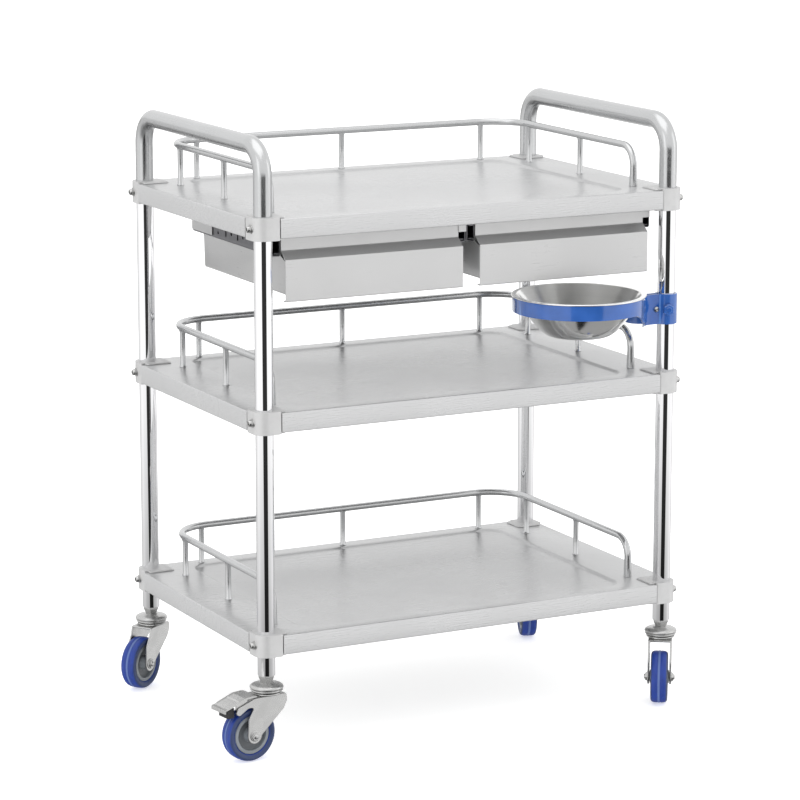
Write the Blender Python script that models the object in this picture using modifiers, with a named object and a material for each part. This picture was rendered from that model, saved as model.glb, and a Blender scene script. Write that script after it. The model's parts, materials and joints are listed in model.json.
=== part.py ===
"""Instrument cart: three stainless shelves on four chromed legs, with drawers, a basin ring and casters.

Metres, +Z up. The floor is z = 0, the cart's front faces -Y and its long side runs along X.
The origin is the middle of the whole cart's footprint box, casters and basin included.
"""
import math

import bmesh
import bpy
from mathutils import Matrix, Vector

# Frame
CART_CENTRE = (0.0265823, 0.0336248)  # middle of the four legs, from the origin
LEG_SPAN_X = 0.625  # between leg centres
LEG_SPAN_Y = 0.400
LEG_RADIUS = 0.0125
TUBE_WALL = 0.0012
LEG_BOTTOM = 0.115
GAP = 0.0003  # between faces that touch

# Shelves: level is the middle of the corner clamps
LEVELS = {"top": 0.7257, "middle": 0.4647, "bottom": 0.1578}
SHELF_MARGIN = 0.0179  # leg centre to the skirt's outer face
SKIRT_HEIGHT = 0.027
SKIRT_FLANGE = 0.010
NOTCH = 0.036
SHEET = 0.0012
TRAY_HALF = (0.256, 0.192)
TRAY_CORNER = 0.028
TRAY_SLOPE = 0.006
TRAY_DEPTH = 0.003

# Corner clamps
CLAMP_HEIGHT = 0.031
CLAMP_RADIUS = 0.0176
CLAMP_LIP = 0.027
CLAMP_LIP_THICKNESS = 0.0017
CLAMP_BOLT_RADIUS = 0.0045
CLAMP_BOLT_REACH = 0.0068

# Guard rails
RAIL_RADIUS = 0.005
RAIL_POST_RADIUS = 0.004
RAIL_HEIGHT = 0.056  # rail centre above the shelf
RAIL_HALF_X = 0.282
RAIL_BACK_Y = 0.201
RAIL_FRONT_Y = -0.157
RAIL_REAR_BEND = 0.060
RAIL_FRONT_BEND = 0.038
RAIL_POSTS_BACK = (-0.231, 0.0, 0.231)
RAIL_POSTS_SIDE = (0.142, -0.008)

# Push handles
HANDLE_TOP = 0.8455
HANDLE_BEND = 0.039

# Drawers, along X from the cart's middle to each drawer's middle
DRAWER_OFFSET = 0.1467
DRAWER_HALF = 0.1335
DRAWER_BOTTOM = 0.6335
DRAWER_WALL_TOP = 0.6845
DRAWER_RAIL_TOP = 0.7065  # the part of the side wall that carries the slide
DRAWER_BACK_Y = 0.067
FRONT_Y = -0.2013
FRONT_SHEET = 0.0014
FRONT_BOTTOM = 0.6239
FRONT_BEND = 0.6805
FRONT_STRIP_Y = -0.187
FRONT_STRIP_BOTTOM = 0.6915
FRONT_STEP = 0.6985
FRONT_TOP = 0.7075
FRONT_STEP_REACH = 0.0115
DRAWER_TRAVEL = 0.220  # the stroke that the slides allow

# Telescopic slides
SLIDE_MIDDLE_Z = 0.6967
SLIDE_HALF_HEIGHT = 0.01275
SLIDE_DEPTH = 0.012
SLIDE_FRONT_Y = -0.1845
SLIDE_BACK_Y = 0.076
SLIDE_SHEET = 0.0012
MOVING_HALF_HEIGHT = 0.0095
HANGER_SHEET = 0.0012
HANGER_FRONT_Y = -0.1705

# Basin set, on the front right leg
RING_REACH = 0.142  # leg centre to ring centre
RING_RADIUS = 0.0916
RING_STRIP = 0.003
RING_Z = (0.5777, 0.5992)
COLLAR_RADIUS = 0.0144
COLLAR_Z = (0.5482, 0.5912)
NECK_HALF = 0.0045
NECK_START_X = -0.025
BOWL_RIM_RADIUS = 0.095
BOWL_MOUTH_RADIUS = 0.088
BOWL_BASE_RADIUS = 0.040
BOWL_BASE_Z = 0.5422
BOWL_WALL = 0.0010
BOWL_CURVE = 0.62

# Casters
WHEEL_RADIUS = 0.0375
TYRE_HALF_WIDTH = 0.012
HUB_RADIUS = 0.0270
TRAIL = 0.030
FORK_HALF_WIDTH = 0.017
FORK_SHEET = 0.0025
FORK_TOP = 0.0895
RACE_RADIUS = 0.0233
AXLE_RADIUS = 0.004
AXLE_REACH = 0.0225
CASTER_HEADINGS = {
    "front_left": -172.0,
    "front_right": -123.0,
    "rear_left": -146.0,
    "rear_right": -112.0,
}
PEDAL_PIVOT = (0.046, 0.0800)  # along the trail, and up
PEDAL_HALF_WIDTH = 0.0175
PEDAL_SHEET = 0.0018

CORNERS = {"front_left": (-1, -1), "front_right": (1, -1), "rear_left": (-1, 1), "rear_right": (1, 1)}


# Scene and object helpers

def clear_scene():
    for obj in list(bpy.data.objects):
        bpy.data.objects.remove(obj, do_unlink=True)


def new_collection(name):
    collection = bpy.data.collections.new(name)
    bpy.context.scene.collection.children.link(collection)
    return collection


def make_material(name, colour, roughness, metallic):
    material = bpy.data.materials.new(name)
    material.use_nodes = True
    shader = material.node_tree.nodes["Principled BSDF"]
    shader.inputs["Base Color"].default_value = (*colour, 1.0)
    shader.inputs["Roughness"].default_value = roughness
    shader.inputs["Metallic"].default_value = metallic
    material.diffuse_color = (*colour, 1.0)
    return material


def new_empty(name, location, parent=None, heading=0.0):
    empty = bpy.data.objects.new(name, None)
    CART.objects.link(empty)
    empty.parent = parent
    empty.location = location
    empty.rotation_euler = (0, 0, math.radians(heading))
    empty.empty_display_size = 0.02
    return empty


def place(name, mesh, material, parent, location=(0, 0, 0), smooth_degrees=35):
    """A finished piece: the mesh, its material and its place under its parent."""
    if not mesh.materials:
        mesh.materials.append(material)
    mesh.shade_smooth()
    mesh.set_sharp_from_angle(angle=math.radians(smooth_degrees))
    obj = bpy.data.objects.new(name, mesh)
    CART.objects.link(obj)
    obj.parent = parent
    obj.location = location
    return obj


# Mesh helpers

def mesh_of(bm, name="shape"):
    bmesh.ops.recalc_face_normals(bm, faces=bm.faces)
    mesh = bpy.data.meshes.new(name)
    bm.to_mesh(mesh)
    bm.free()
    return mesh


def evaluated(obj):
    """The object's mesh with its modifiers applied; the object itself is removed."""
    depsgraph = bpy.context.evaluated_depsgraph_get()
    mesh = bpy.data.meshes.new_from_object(obj.evaluated_get(depsgraph))
    bpy.data.objects.remove(obj, do_unlink=True)
    return mesh


def combined(base, joined=(), cut=()):
    """One closed mesh: the base joined with some closed meshes, then with others cut from it."""
    body = bpy.data.objects.new("body", base)
    CUTTERS.objects.link(body)
    tools = []
    for operation, meshes in (("UNION", joined), ("DIFFERENCE", cut)):
        for mesh in meshes:
            tool = bpy.data.objects.new("tool", mesh)
            CUTTERS.objects.link(tool)
            tool.hide_render = True
            tool.display_type = "WIRE"
            tools.append(tool)
            modifier = body.modifiers.new(operation.lower(), "BOOLEAN")
            modifier.operation = operation
            modifier.object = tool
            modifier.solver = "EXACT"
    mesh = evaluated(body)
    for tool in tools:
        bpy.data.objects.remove(tool, do_unlink=True)
    return mesh


def add_box(bm, low, high):
    size = [b - a for a, b in zip(low, high)]
    middle = [(a + b) / 2 for a, b in zip(low, high)]
    matrix = Matrix.Translation(middle) @ Matrix.Diagonal((*size, 1))
    return bmesh.ops.create_cube(bm, size=1, matrix=matrix)["verts"]


def box(low, high):
    bm = bmesh.new()
    add_box(bm, low, high)
    return mesh_of(bm)


def add_cylinder(bm, radius, start, end, segments=16, end_radius=None):
    start, end = Vector(start), Vector(end)
    along = end - start
    turn = along.to_track_quat("Z", "Y").to_matrix().to_4x4()
    matrix = Matrix.Translation((start + end) / 2) @ turn
    bmesh.ops.create_cone(bm, cap_ends=True, segments=segments, radius1=radius,
                          radius2=radius if end_radius is None else end_radius,
                          depth=along.length, matrix=matrix)


def cylinder(radius, start, end, segments=16, end_radius=None):
    bm = bmesh.new()
    add_cylinder(bm, radius, start, end, segments, end_radius)
    return mesh_of(bm)


def turned(profile, steps, closed=False):
    """A profile of (radius, height) points turned about Z, listed down its outer side."""
    bm = bmesh.new()
    verts = [bm.verts.new((r, 0, z)) for r, z in profile]
    pairs = list(zip(verts, verts[1:])) + ([(verts[-1], verts[0])] if closed else [])
    for pair in pairs:
        bm.edges.new(pair)
    mesh = bpy.data.meshes.new("profile")
    bm.to_mesh(mesh)
    bm.free()
    obj = bpy.data.objects.new("profile", mesh)
    CUTTERS.objects.link(obj)
    screw = obj.modifiers.new("turn", "SCREW")
    screw.steps = screw.render_steps = steps
    screw.use_merge_vertices = True
    screw.merge_threshold = 0.00001
    return evaluated(obj)


def outline_solid(points, low, high, holes=()):
    """A flat XY outline, with holes, extruded from z = low to z = high."""
    curve = bpy.data.curves.new("outline", "CURVE")
    curve.dimensions = "2D"
    curve.fill_mode = "BOTH"
    curve.extrude = (high - low) / 2
    for loop in (points, *holes):
        spline = curve.splines.new("POLY")
        spline.points.add(len(loop) - 1)
        spline.use_cyclic_u = True
        for point, (x, y) in zip(spline.points, loop):
            point.co = (x, y, 0, 1)
    obj = bpy.data.objects.new("outline", curve)
    CUTTERS.objects.link(obj)
    mesh = evaluated(obj)
    bm = bmesh.new()
    bm.from_mesh(mesh)
    bmesh.ops.remove_doubles(bm, verts=bm.verts, dist=0.000005)
    bmesh.ops.translate(bm, verts=bm.verts, vec=(0, 0, (low + high) / 2))
    return mesh_of(bm)


def moved(mesh, matrix):
    mesh.transform(matrix)
    if matrix.determinant() < 0:
        mesh.flip_normals()
    return mesh


def swept(points, radius, resolution):
    """A round bar along a list of points, with closed ends."""
    curve = bpy.data.curves.new("path", "CURVE")
    curve.dimensions = "3D"
    curve.bevel_depth = radius
    curve.bevel_resolution = resolution
    curve.use_fill_caps = True
    spline = curve.splines.new("POLY")
    spline.points.add(len(points) - 1)
    for point, place_at in zip(spline.points, points):
        point.co = (*place_at, 1)
    obj = bpy.data.objects.new("path", curve)
    CUTTERS.objects.link(obj)
    mesh = evaluated(obj)
    bm = bmesh.new()
    bm.from_mesh(mesh)
    bmesh.ops.remove_doubles(bm, verts=bm.verts, dist=0.00001)
    return mesh_of(bm)


def bent_path(corners, bends, steps):
    """Points along straight runs between corners, each inner corner rounded to its bend radius."""
    corners = [Vector(corner) for corner in corners]
    points = [corners[0]]
    for before, corner, after, bend in zip(corners, corners[1:], corners[2:], bends):
        inward, outward = (before - corner).normalized(), (after - corner).normalized()
        half = inward.angle(outward) / 2
        centre = corner + (inward + outward).normalized() * bend / math.sin(half)
        start = (corner + inward * bend / math.tan(half) - centre).normalized()
        end = (corner + outward * bend / math.tan(half) - centre).normalized()
        points += [centre + start.slerp(end, step / steps) * bend for step in range(steps + 1)]
    return points + [corners[-1]]


def rounded_rectangle(half_x, half_y, radius, steps=4):
    points = []
    for quarter, (sx, sy) in enumerate(((1, 1), (-1, 1), (-1, -1), (1, -1))):
        centre = (sx * (half_x - radius), sy * (half_y - radius))
        for step in range(steps + 1):
            angle = math.pi / 2 * (quarter + step / steps)
            points.append((centre[0] + radius * math.cos(angle), centre[1] + radius * math.sin(angle)))
    return points


def circle_points(radius, steps, centre=(0, 0)):
    angles = [math.tau * step / steps for step in range(steps)]
    return [(centre[0] + radius * math.cos(a), centre[1] + radius * math.sin(a)) for a in angles]


# Frame

def leg_place(corner):
    sx, sy = CORNERS[corner]
    return sx * LEG_SPAN_X / 2, sy * LEG_SPAN_Y / 2


def leg_mesh():
    inner = LEG_RADIUS - TUBE_WALL
    top = LEVELS["top"] - GAP / 2
    profile = [(LEG_RADIUS, top), (LEG_RADIUS, LEG_BOTTOM), (inner, LEG_BOTTOM), (inner, top)]
    return turned(profile, 24, closed=True)


def handle_mesh():
    foot = LEVELS["top"] + GAP / 2
    crown = HANDLE_TOP - LEG_RADIUS
    half = LEG_SPAN_Y / 2

    def arch(radius, extra):
        corners = [(0, -half, foot - extra), (0, -half, crown), (0, half, crown), (0, half, foot - extra)]
        return swept(bent_path(corners, (HANDLE_BEND, HANDLE_BEND), 4), radius, 4)

    return combined(arch(LEG_RADIUS, 0), cut=[arch(LEG_RADIUS - TUBE_WALL, 0.002)])


def shelf_outline(inset):
    """The shelf's plan, a rectangle with its corners notched for the legs, moved in by inset."""
    half_x = LEG_SPAN_X / 2 + SHELF_MARGIN
    half_y = LEG_SPAN_Y / 2 + SHELF_MARGIN
    out_x, out_y = half_x - inset, half_y - inset
    in_x, in_y = half_x - NOTCH - inset, half_y - NOTCH - inset
    corner = [(out_x, in_y), (in_x, in_y), (in_x, out_y)]
    flipped = [(-x, y) for x, y in reversed(corner)]
    return corner + flipped + [(-x, -y) for x, y in corner] + [(-x, -y) for x, y in flipped]


def shelf_mesh():
    """Folded sheet: return flange, skirt, border and a shallow tray. z = 0 is its top face."""
    bm = bmesh.new()

    def ring(points, z):
        verts = [bm.verts.new((x, y, z)) for x, y in points]
        for a, b in zip(verts, verts[1:] + verts[:1]):
            bm.edges.new((a, b))
        return verts

    def wall(lower, upper):
        for a, b, c, d in zip(lower, lower[1:] + lower[:1], upper[1:] + upper[:1], upper):
            bm.faces.new((a, b, c, d))

    flange = ring(shelf_outline(SKIRT_FLANGE), -SKIRT_HEIGHT)
    skirt = ring(shelf_outline(0), -SKIRT_HEIGHT)
    border = ring(shelf_outline(0), 0)
    half_x, half_y = TRAY_HALF
    floor_x, floor_y = half_x - TRAY_SLOPE, half_y - TRAY_SLOPE
    rim = ring(rounded_rectangle(half_x, half_y, TRAY_CORNER), 0)
    floor = ring(rounded_rectangle(floor_x, floor_y, TRAY_CORNER - TRAY_SLOPE), -TRAY_DEPTH)
    wall(flange, skirt)
    wall(skirt, border)
    wall(floor, rim)
    tray = bm.faces.new(floor)
    edges = [edge for edge in bm.edges if len(edge.link_faces) == 1
             and all(vert in border or vert in rim for vert in edge.verts)]
    bmesh.ops.triangle_fill(bm, edges=edges, use_beauty=True)
    bmesh.ops.recalc_face_normals(bm, faces=bm.faces)
    tray.normal_update()
    if tray.normal.z < 0:
        bmesh.ops.reverse_faces(bm, faces=bm.faces)
    mesh = bpy.data.meshes.new("shelf")
    bm.to_mesh(mesh)
    bm.free()
    obj = bpy.data.objects.new("shelf", mesh)
    CUTTERS.objects.link(obj)
    solidify = obj.modifiers.new("sheet", "SOLIDIFY")
    solidify.thickness = SHEET
    solidify.offset = -1
    solidify.use_even_offset = True
    return evaluated(obj)


def clamp_mesh(sx, sy):
    """Sleeve round a leg, square towards the shelf, lipped over and under the sheet. z = 0 is its middle."""
    radius, half = CLAMP_RADIUS, CLAMP_HEIGHT / 2
    arc = [math.pi * (1 + step / 8) for step in range(5)]
    plan = [(radius, -radius), (radius, radius), (-radius, radius)]
    plan += [(radius * math.cos(a), radius * math.sin(a)) for a in arc]
    lip = [(CLAMP_LIP, -0.012), (CLAMP_LIP, CLAMP_LIP), (-0.012, CLAMP_LIP), (-0.012, -0.006), (-0.006, -0.012)]
    tip, r = radius + CLAMP_BOLT_REACH, CLAMP_BOLT_RADIUS
    bolt = turned([(0, tip), (r * 0.5, tip - 0.0004), (r * 0.86, tip - 0.0017), (r, tip - 0.0034),
                   (r, radius * 0.85), (0, radius * 0.85)], 8)
    mesh = combined(
        outline_solid(plan, -half, half),
        joined=[outline_solid(lip, half - CLAMP_LIP_THICKNESS, half),
                outline_solid(lip, -half, -half + CLAMP_LIP_THICKNESS),
                moved(bolt, Matrix.Rotation(-math.pi / 2, 4, "Y"))],
        cut=[cylinder(LEG_RADIUS + GAP * 1.6, (0, 0, -0.02), (0, 0, 0.02), 16)],
    )
    return moved(mesh, Matrix.Diagonal((-sx, -sy, 1, 1)))


def rail_mesh():
    """Guard rail with welded posts. z = 0 is the shelf's top face."""
    x, z = RAIL_HALF_X, RAIL_HEIGHT
    corners = [
        (-x, RAIL_FRONT_Y, GAP),
        (-x, RAIL_FRONT_Y, z),
        (-x, RAIL_BACK_Y, z),
        (x, RAIL_BACK_Y, z),
        (x, RAIL_FRONT_Y, z),
        (x, RAIL_FRONT_Y, GAP),
    ]
    bends = (RAIL_FRONT_BEND, RAIL_REAR_BEND, RAIL_REAR_BEND, RAIL_FRONT_BEND)
    bar = swept(bent_path(corners, bends, 4), RAIL_RADIUS, 2)
    feet = [(px, RAIL_BACK_Y) for px in RAIL_POSTS_BACK]
    feet += [(side * x, py) for side in (-1, 1) for py in RAIL_POSTS_SIDE]
    posts = bmesh.new()
    for px, py in feet:
        add_cylinder(posts, RAIL_POST_RADIUS, (px, py, GAP), (px, py, z), 8)
    return combined(bar, joined=[mesh_of(posts)])


def build_frame():
    leg = leg_mesh()
    for corner in CORNERS:
        x, y = leg_place(corner)
        place(f"leg_{corner}", leg, CHROME, FRAME, (x, y, 0))
    handle = handle_mesh()
    for side, sx in (("left", -1), ("right", 1)):
        place(f"handle_{side}", handle, SATIN, FRAME, (sx * LEG_SPAN_X / 2, 0, 0))
    clamps = {corner: clamp_mesh(*signs) for corner, signs in CORNERS.items()}
    shelf, rail = shelf_mesh(), rail_mesh()
    for level, height in LEVELS.items():
        top_face = height + SKIRT_HEIGHT / 2
        place(f"shelf_{level}", shelf, SHELF_STEEL, FRAME, (0, 0, top_face))
        place(f"guard_rail_{level}", rail, SATIN, FRAME, (0, 0, top_face))
        for corner in CORNERS:
            x, y = leg_place(corner)
            place(f"clamp_{level}_{corner}", clamps[corner], CLAMP_METAL, FRAME, (x, y, height))


# Drawers

def drawer_box_mesh():
    """Folded open-topped box; behind the front its side walls rise to carry the slides."""
    half, wall = DRAWER_HALF, SHEET
    front = FRONT_Y + FRONT_SHEET + GAP
    strip = FRONT_STRIP_Y + FRONT_SHEET + GAP
    outer = bmesh.new()
    add_box(outer, (-half, strip, DRAWER_BOTTOM), (half, DRAWER_BACK_Y, DRAWER_RAIL_TOP))
    low_edges = [edge for edge in outer.edges if all(abs(v.co.z - DRAWER_BOTTOM) < 1e-6 for v in edge.verts)
                 and all(v.co.y > 0 for v in edge.verts)]
    bmesh.ops.bevel(outer, geom=low_edges, offset=0.006, segments=2, affect="EDGES")
    nose = box((-half, front, DRAWER_BOTTOM), (half, strip + 0.01, FRONT_BEND - 0.002))
    hollow = box((-half + wall, strip - 0.005, DRAWER_BOTTOM + wall),
                 (half - wall, DRAWER_BACK_Y - wall, DRAWER_RAIL_TOP + 0.01))
    nose_hollow = box((-half + wall, front + wall, DRAWER_BOTTOM + wall),
                      (half - wall, strip + 0.011, FRONT_BEND + 0.01))
    back_top = box((-half + 0.004, DRAWER_BACK_Y - 0.01, DRAWER_WALL_TOP),
                   (half - 0.004, DRAWER_BACK_Y + 0.01, DRAWER_RAIL_TOP + 0.01))
    return combined(mesh_of(outer), joined=[nose], cut=[hollow, nose_hollow, back_top])


def drawer_front_mesh():
    """Face, slanted finger recess and a set-back strip, whose top part reaches across the slide."""
    half = DRAWER_HALF
    bm = bmesh.new()

    def strip(points, left, right):
        rows = [[bm.verts.new((x, y, z)) for y, z in points] for x in (left, right)]
        for a, b, c, d in zip(rows[0], rows[0][1:], rows[1][1:], rows[1]):
            bm.faces.new((a, b, c, d))

    section = [(FRONT_Y + 0.008, FRONT_BOTTOM), (FRONT_Y, FRONT_BOTTOM), (FRONT_Y, FRONT_BEND),
               (FRONT_STRIP_Y, FRONT_STRIP_BOTTOM), (FRONT_STRIP_Y, FRONT_STEP), (FRONT_STRIP_Y, FRONT_TOP)]
    strip(section, -half, half)
    strip(section[-2:], half, half + FRONT_STEP_REACH)
    bmesh.ops.remove_doubles(bm, verts=bm.verts, dist=0.00001)
    bmesh.ops.recalc_face_normals(bm, faces=bm.faces)
    face = min(bm.faces, key=lambda f: (round(f.calc_center_median().y, 5), -f.calc_area()))
    if face.normal.y > 0:
        bmesh.ops.reverse_faces(bm, faces=bm.faces)
    mesh = bpy.data.meshes.new("front")
    bm.to_mesh(mesh)
    bm.free()
    obj = bpy.data.objects.new("front", mesh)
    CUTTERS.objects.link(obj)
    solidify = obj.modifiers.new("sheet", "SOLIDIFY")
    solidify.thickness = FRONT_SHEET
    solidify.offset = -1
    solidify.use_even_offset = True
    return evaluated(obj)


def channel(web, rim, half_height, sheet):
    """A channel along Y, from its web at x = web to its flanges' edges at x = rim."""
    inner = web + math.copysign(sheet, rim - web)
    h = half_height
    section = [(rim, -h), (web, -h), (web, h), (rim, h), (rim, h - sheet), (inner, h - sheet),
               (inner, -h + sheet), (rim, -h + sheet)]
    solid = outline_solid(section, SLIDE_FRONT_Y, SLIDE_BACK_Y)
    to_y = Matrix(((1, 0, 0, 0), (0, 0, 1, 0), (0, 1, 0, SLIDE_MIDDLE_Z), (0, 0, 0, 1)))
    return moved(solid, to_y)


def fixed_slide_mesh():
    """The outer channel, its web at -X, punched with two pairs of holes and two slots."""
    web = -SLIDE_DEPTH
    punches = bmesh.new()
    z = SLIDE_MIDDLE_Z
    holes = [(-0.010, 0.004, 0.0022), (-0.010, -0.004, 0.0022), (-0.054, 0, 0.0024), (0.050, 0, 0.0024)]
    for y, rise, radius in holes:
        add_cylinder(punches, radius, (web - 0.002, y, z + rise), (web + 0.003, y, z + rise), 8)
    for y in (-0.036, -0.160):
        add_box(punches, (web - 0.002, y - 0.002, z - 0.006), (web + 0.003, y + 0.002, z + 0.006))
    return combined(channel(web, -0.001, SLIDE_HALF_HEIGHT, SLIDE_SHEET), cut=[mesh_of(punches)])


def moving_slide_mesh():
    """The inner channel, its web on the drawer's side at x = 0."""
    return channel(-GAP, -0.009, MOVING_HALF_HEIGHT, SLIDE_SHEET * 0.85)


def hanger_mesh(top):
    """Hanger outside a slide: a strip under the shelf with a tab at each end, and a bent top. Web at x = 0."""
    sheet = HANGER_SHEET
    upper = SLIDE_MIDDLE_Z + SLIDE_HALF_HEIGHT + 0.004
    lower = SLIDE_MIDDLE_Z - 0.0095
    web = box((-sheet, HANGER_FRONT_Y, upper), (0, SLIDE_BACK_Y, top))
    tabs = bmesh.new()
    for start, end in ((HANGER_FRONT_Y, HANGER_FRONT_Y + 0.020), (0.0076, SLIDE_BACK_Y)):
        add_box(tabs, (-sheet, start, lower), (0, end, upper + 0.002))
    bend = box((-sheet, HANGER_FRONT_Y, top - sheet), (0.012, SLIDE_BACK_Y, top))
    return combined(web, joined=[mesh_of(tabs), bend])


def centre_hanger_mesh(top):
    """Hanger between the drawers: one plate that both inner slides are fixed to, with a wide top."""
    half = HANGER_SHEET / 2
    plate = box((-half, HANGER_FRONT_Y, SLIDE_MIDDLE_Z - SLIDE_HALF_HEIGHT), (half, SLIDE_BACK_Y, top))
    cap = box((-0.012, HANGER_FRONT_Y, top - HANGER_SHEET), (0.012, SLIDE_BACK_Y, top))
    return combined(plate, joined=[cap])


def build_drawers():
    box_mesh, front_mesh = drawer_box_mesh(), drawer_front_mesh()
    fixed_left, moving_left = fixed_slide_mesh(), moving_slide_mesh()
    mirror = Matrix.Diagonal((-1, 1, 1, 1))
    fixed_right, moving_right = moved(fixed_left.copy(), mirror), moved(moving_left.copy(), mirror)
    for side, sx in (("left", -1), ("right", 1)):
        middle = sx * DRAWER_OFFSET
        runner = new_empty(f"drawer_{side}_slide_axis", (middle, 0, 0), FRAME)
        place(f"drawer_{side}_box", box_mesh, DRAWER_STEEL, runner)
        place(f"drawer_{side}_front", front_mesh, FRONT_STEEL, runner)
        for end, ex in (("outer", sx), ("inner", -sx)):
            fixed, moving = (fixed_left, moving_left) if ex < 0 else (fixed_right, moving_right)
            wall = ex * (DRAWER_HALF + GAP)
            place(f"slide_{side}_{end}_moving", moving, SLIDE_STEEL, runner, (wall, 0, 0))
            place(f"slide_{side}_{end}_fixed", fixed, SLIDE_STEEL, FRAME, (middle + wall, 0, 0))
    underside = LEVELS["top"] + SKIRT_HEIGHT / 2 - SHEET - GAP
    outer_face = DRAWER_OFFSET + DRAWER_HALF + GAP + SLIDE_DEPTH + GAP
    left = hanger_mesh(underside)
    right = moved(left.copy(), mirror)
    place("hanger_left", left, HANGER_STEEL, FRAME, (-outer_face, 0, 0))
    place("hanger_right", right, HANGER_STEEL, FRAME, (outer_face, 0, 0))
    place("hanger_centre", centre_hanger_mesh(underside - TRAY_DEPTH), HANGER_STEEL, FRAME)


# Basin set, in the leg's own frame: z is up the leg and the ring lies towards -X

def ring_path():
    """Half of the strip's centre line, from the ring's far side to the collar's far side, and its mirror."""
    ring = []
    leave = math.radians(28)
    for step in range(17):
        angle = math.pi + (leave - math.pi) * step / 16
        ring.append((-RING_REACH + RING_RADIUS * math.cos(angle), RING_RADIUS * math.sin(angle)))
    start = Vector(ring[-1])
    end = Vector((NECK_START_X, NECK_HALF))
    pull = 0.022
    first = start + Vector((math.sin(leave), -math.cos(leave))) * pull
    second = end - Vector((pull, 0))
    blend = []
    for step in range(1, 7):
        t = step / 6
        point = (1 - t) ** 3 * start + 3 * t * (1 - t) ** 2 * first
        point += 3 * t * t * (1 - t) * second + t ** 3 * end
        blend.append((point.x, point.y))
    meet = math.pi - math.asin(NECK_HALF / COLLAR_RADIUS)
    angles = [meet * (1 - step / 10) for step in range(11)]
    collar = [(COLLAR_RADIUS * math.cos(angle), COLLAR_RADIUS * math.sin(angle)) for angle in angles]
    half = ring + blend + collar
    return half + [(x, -y) for x, y in reversed(half[1:-1])]


def ring_holder_mesh():
    """One strip that rings the bowl, draws in at the neck and loops round the leg."""
    bm = bmesh.new()
    low, high = [], []
    for x, y in ring_path():
        share = min(max((x + 0.100) / 0.055, 0), 1)
        share = share * share * (3 - 2 * share)
        low.append(bm.verts.new((x, y, RING_Z[0] + (COLLAR_Z[0] - RING_Z[0]) * share)))
        high.append(bm.verts.new((x, y, RING_Z[1] + (COLLAR_Z[1] - RING_Z[1]) * share)))
    for a, b, c, d in zip(low, low[1:] + low[:1], high[1:] + high[:1], high):
        bm.faces.new((a, b, c, d))
    mesh = mesh_of(bm)
    obj = bpy.data.objects.new("strip", mesh)
    CUTTERS.objects.link(obj)
    solidify = obj.modifiers.new("strip", "SOLIDIFY")
    solidify.thickness = RING_STRIP
    solidify.offset = 0
    solidify.use_even_offset = True
    strip = evaluated(obj)
    screw_hole = cylinder(0.0028, (screw_x(), -0.012, screw_z()), (screw_x(), 0.012, screw_z()), 10)
    return combined(strip, cut=[screw_hole])


def screw_x():
    return (NECK_START_X - COLLAR_RADIUS * 0.95) / 2


def screw_z():
    return sum(COLLAR_Z) / 2


def clamp_screw_mesh():
    """Machine screw across the neck, with a round head in front and a hexagonal nut behind."""
    x, z = screw_x(), screw_z()
    face = NECK_HALF + RING_STRIP / 2 + GAP
    shank = cylinder(0.0024, (x, -face - 0.001, z), (x, face + 0.0055, z), 10)
    head = cylinder(0.0042, (x, -face, z), (x, -face - 0.003, z), 12, 0.0030)
    nut = cylinder(0.0040, (x, face, z), (x, face + 0.0032, z), 6)
    return combined(shank, joined=[head, nut])


def bowl_mesh():
    """Spun bowl with a flat base and a turned-out rim, in the ring's frame."""
    rim_z = RING_Z[1] + GAP
    depth = rim_z - BOWL_BASE_Z
    wall = []
    for step in range(8):
        share = (step / 7) ** 1.6
        radius = BOWL_BASE_RADIUS + (BOWL_MOUTH_RADIUS - BOWL_BASE_RADIUS) * share ** BOWL_CURVE
        wall.append((radius, BOWL_BASE_Z + depth * share))
    t = BOWL_WALL
    inner = [(r - t, z + t * 0.8) for r, z in wall]
    rim = [(BOWL_MOUTH_RADIUS + 0.001, rim_z + 0.0012), (BOWL_RIM_RADIUS - 0.001, rim_z + 0.0012),
           (BOWL_RIM_RADIUS, rim_z + 0.0004), (BOWL_RIM_RADIUS - 0.0005, rim_z)]
    profile = [(0, BOWL_BASE_Z + t), *inner, *rim, *reversed(wall), (0, BOWL_BASE_Z)]
    return turned(profile, 30)


def build_basin():
    x, y = leg_place("front_right")
    swing = new_empty("basin_swing_axis", (x, y, 0), FRAME)
    place("ring_holder", ring_holder_mesh(), BLUE_PAINT, swing)
    place("ring_clamp_screw", clamp_screw_mesh(), PLATED, swing)
    place("basin_bowl", bowl_mesh(), BOWL_STEEL, swing, (-RING_REACH, 0, 0))


# Casters, in their own frame: z is up from the floor, the swivel axis is x = y = 0, the wheel trails to +X

def caster_stem_mesh():
    """Upper race cover, tapered hexagon and the plug inside the leg."""
    r = RACE_RADIUS
    plug = LEG_RADIUS - TUBE_WALL - 0.0004
    profile = [(0, 0.145), (plug, 0.145), (plug, LEG_BOTTOM - 0.002), (0.0080, 0.1045), (r - 0.004, 0.1030),
               (r, 0.0990), (r, 0.0960), (r - 0.004, 0.0928), (0, 0.0928)]
    hexagon = cylinder(0.0090, (0, 0, 0.1032), (0, 0, LEG_BOTTOM - GAP), 6, 0.0122)
    return combined(turned(profile, 18), joined=[hexagon])


def fork_side_outline(braked):
    """Side plate in (x, z): wide under the crown, tapering to a round eye at the axle."""
    eye = 0.0110
    plate = [(TRAIL + eye * math.cos(a), WHEEL_RADIUS + eye * math.sin(a))
             for a in [math.pi * (-0.98 + 1.06 * step / 6) for step in range(7)]]
    plate += [(0.0395, 0.062), (0.0300, 0.0775)]
    if braked:
        plate += [(0.0400, 0.0775), (0.0540, 0.0690), (0.0600, 0.0720), (0.0560, 0.0800)]
        plate += [(0.0300, FORK_TOP)]
    else:
        plate += [(0.0270, FORK_TOP)]
    return plate + [(-0.0215, FORK_TOP), (-0.0225, 0.0800), (-0.0170, 0.0690)]


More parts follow.
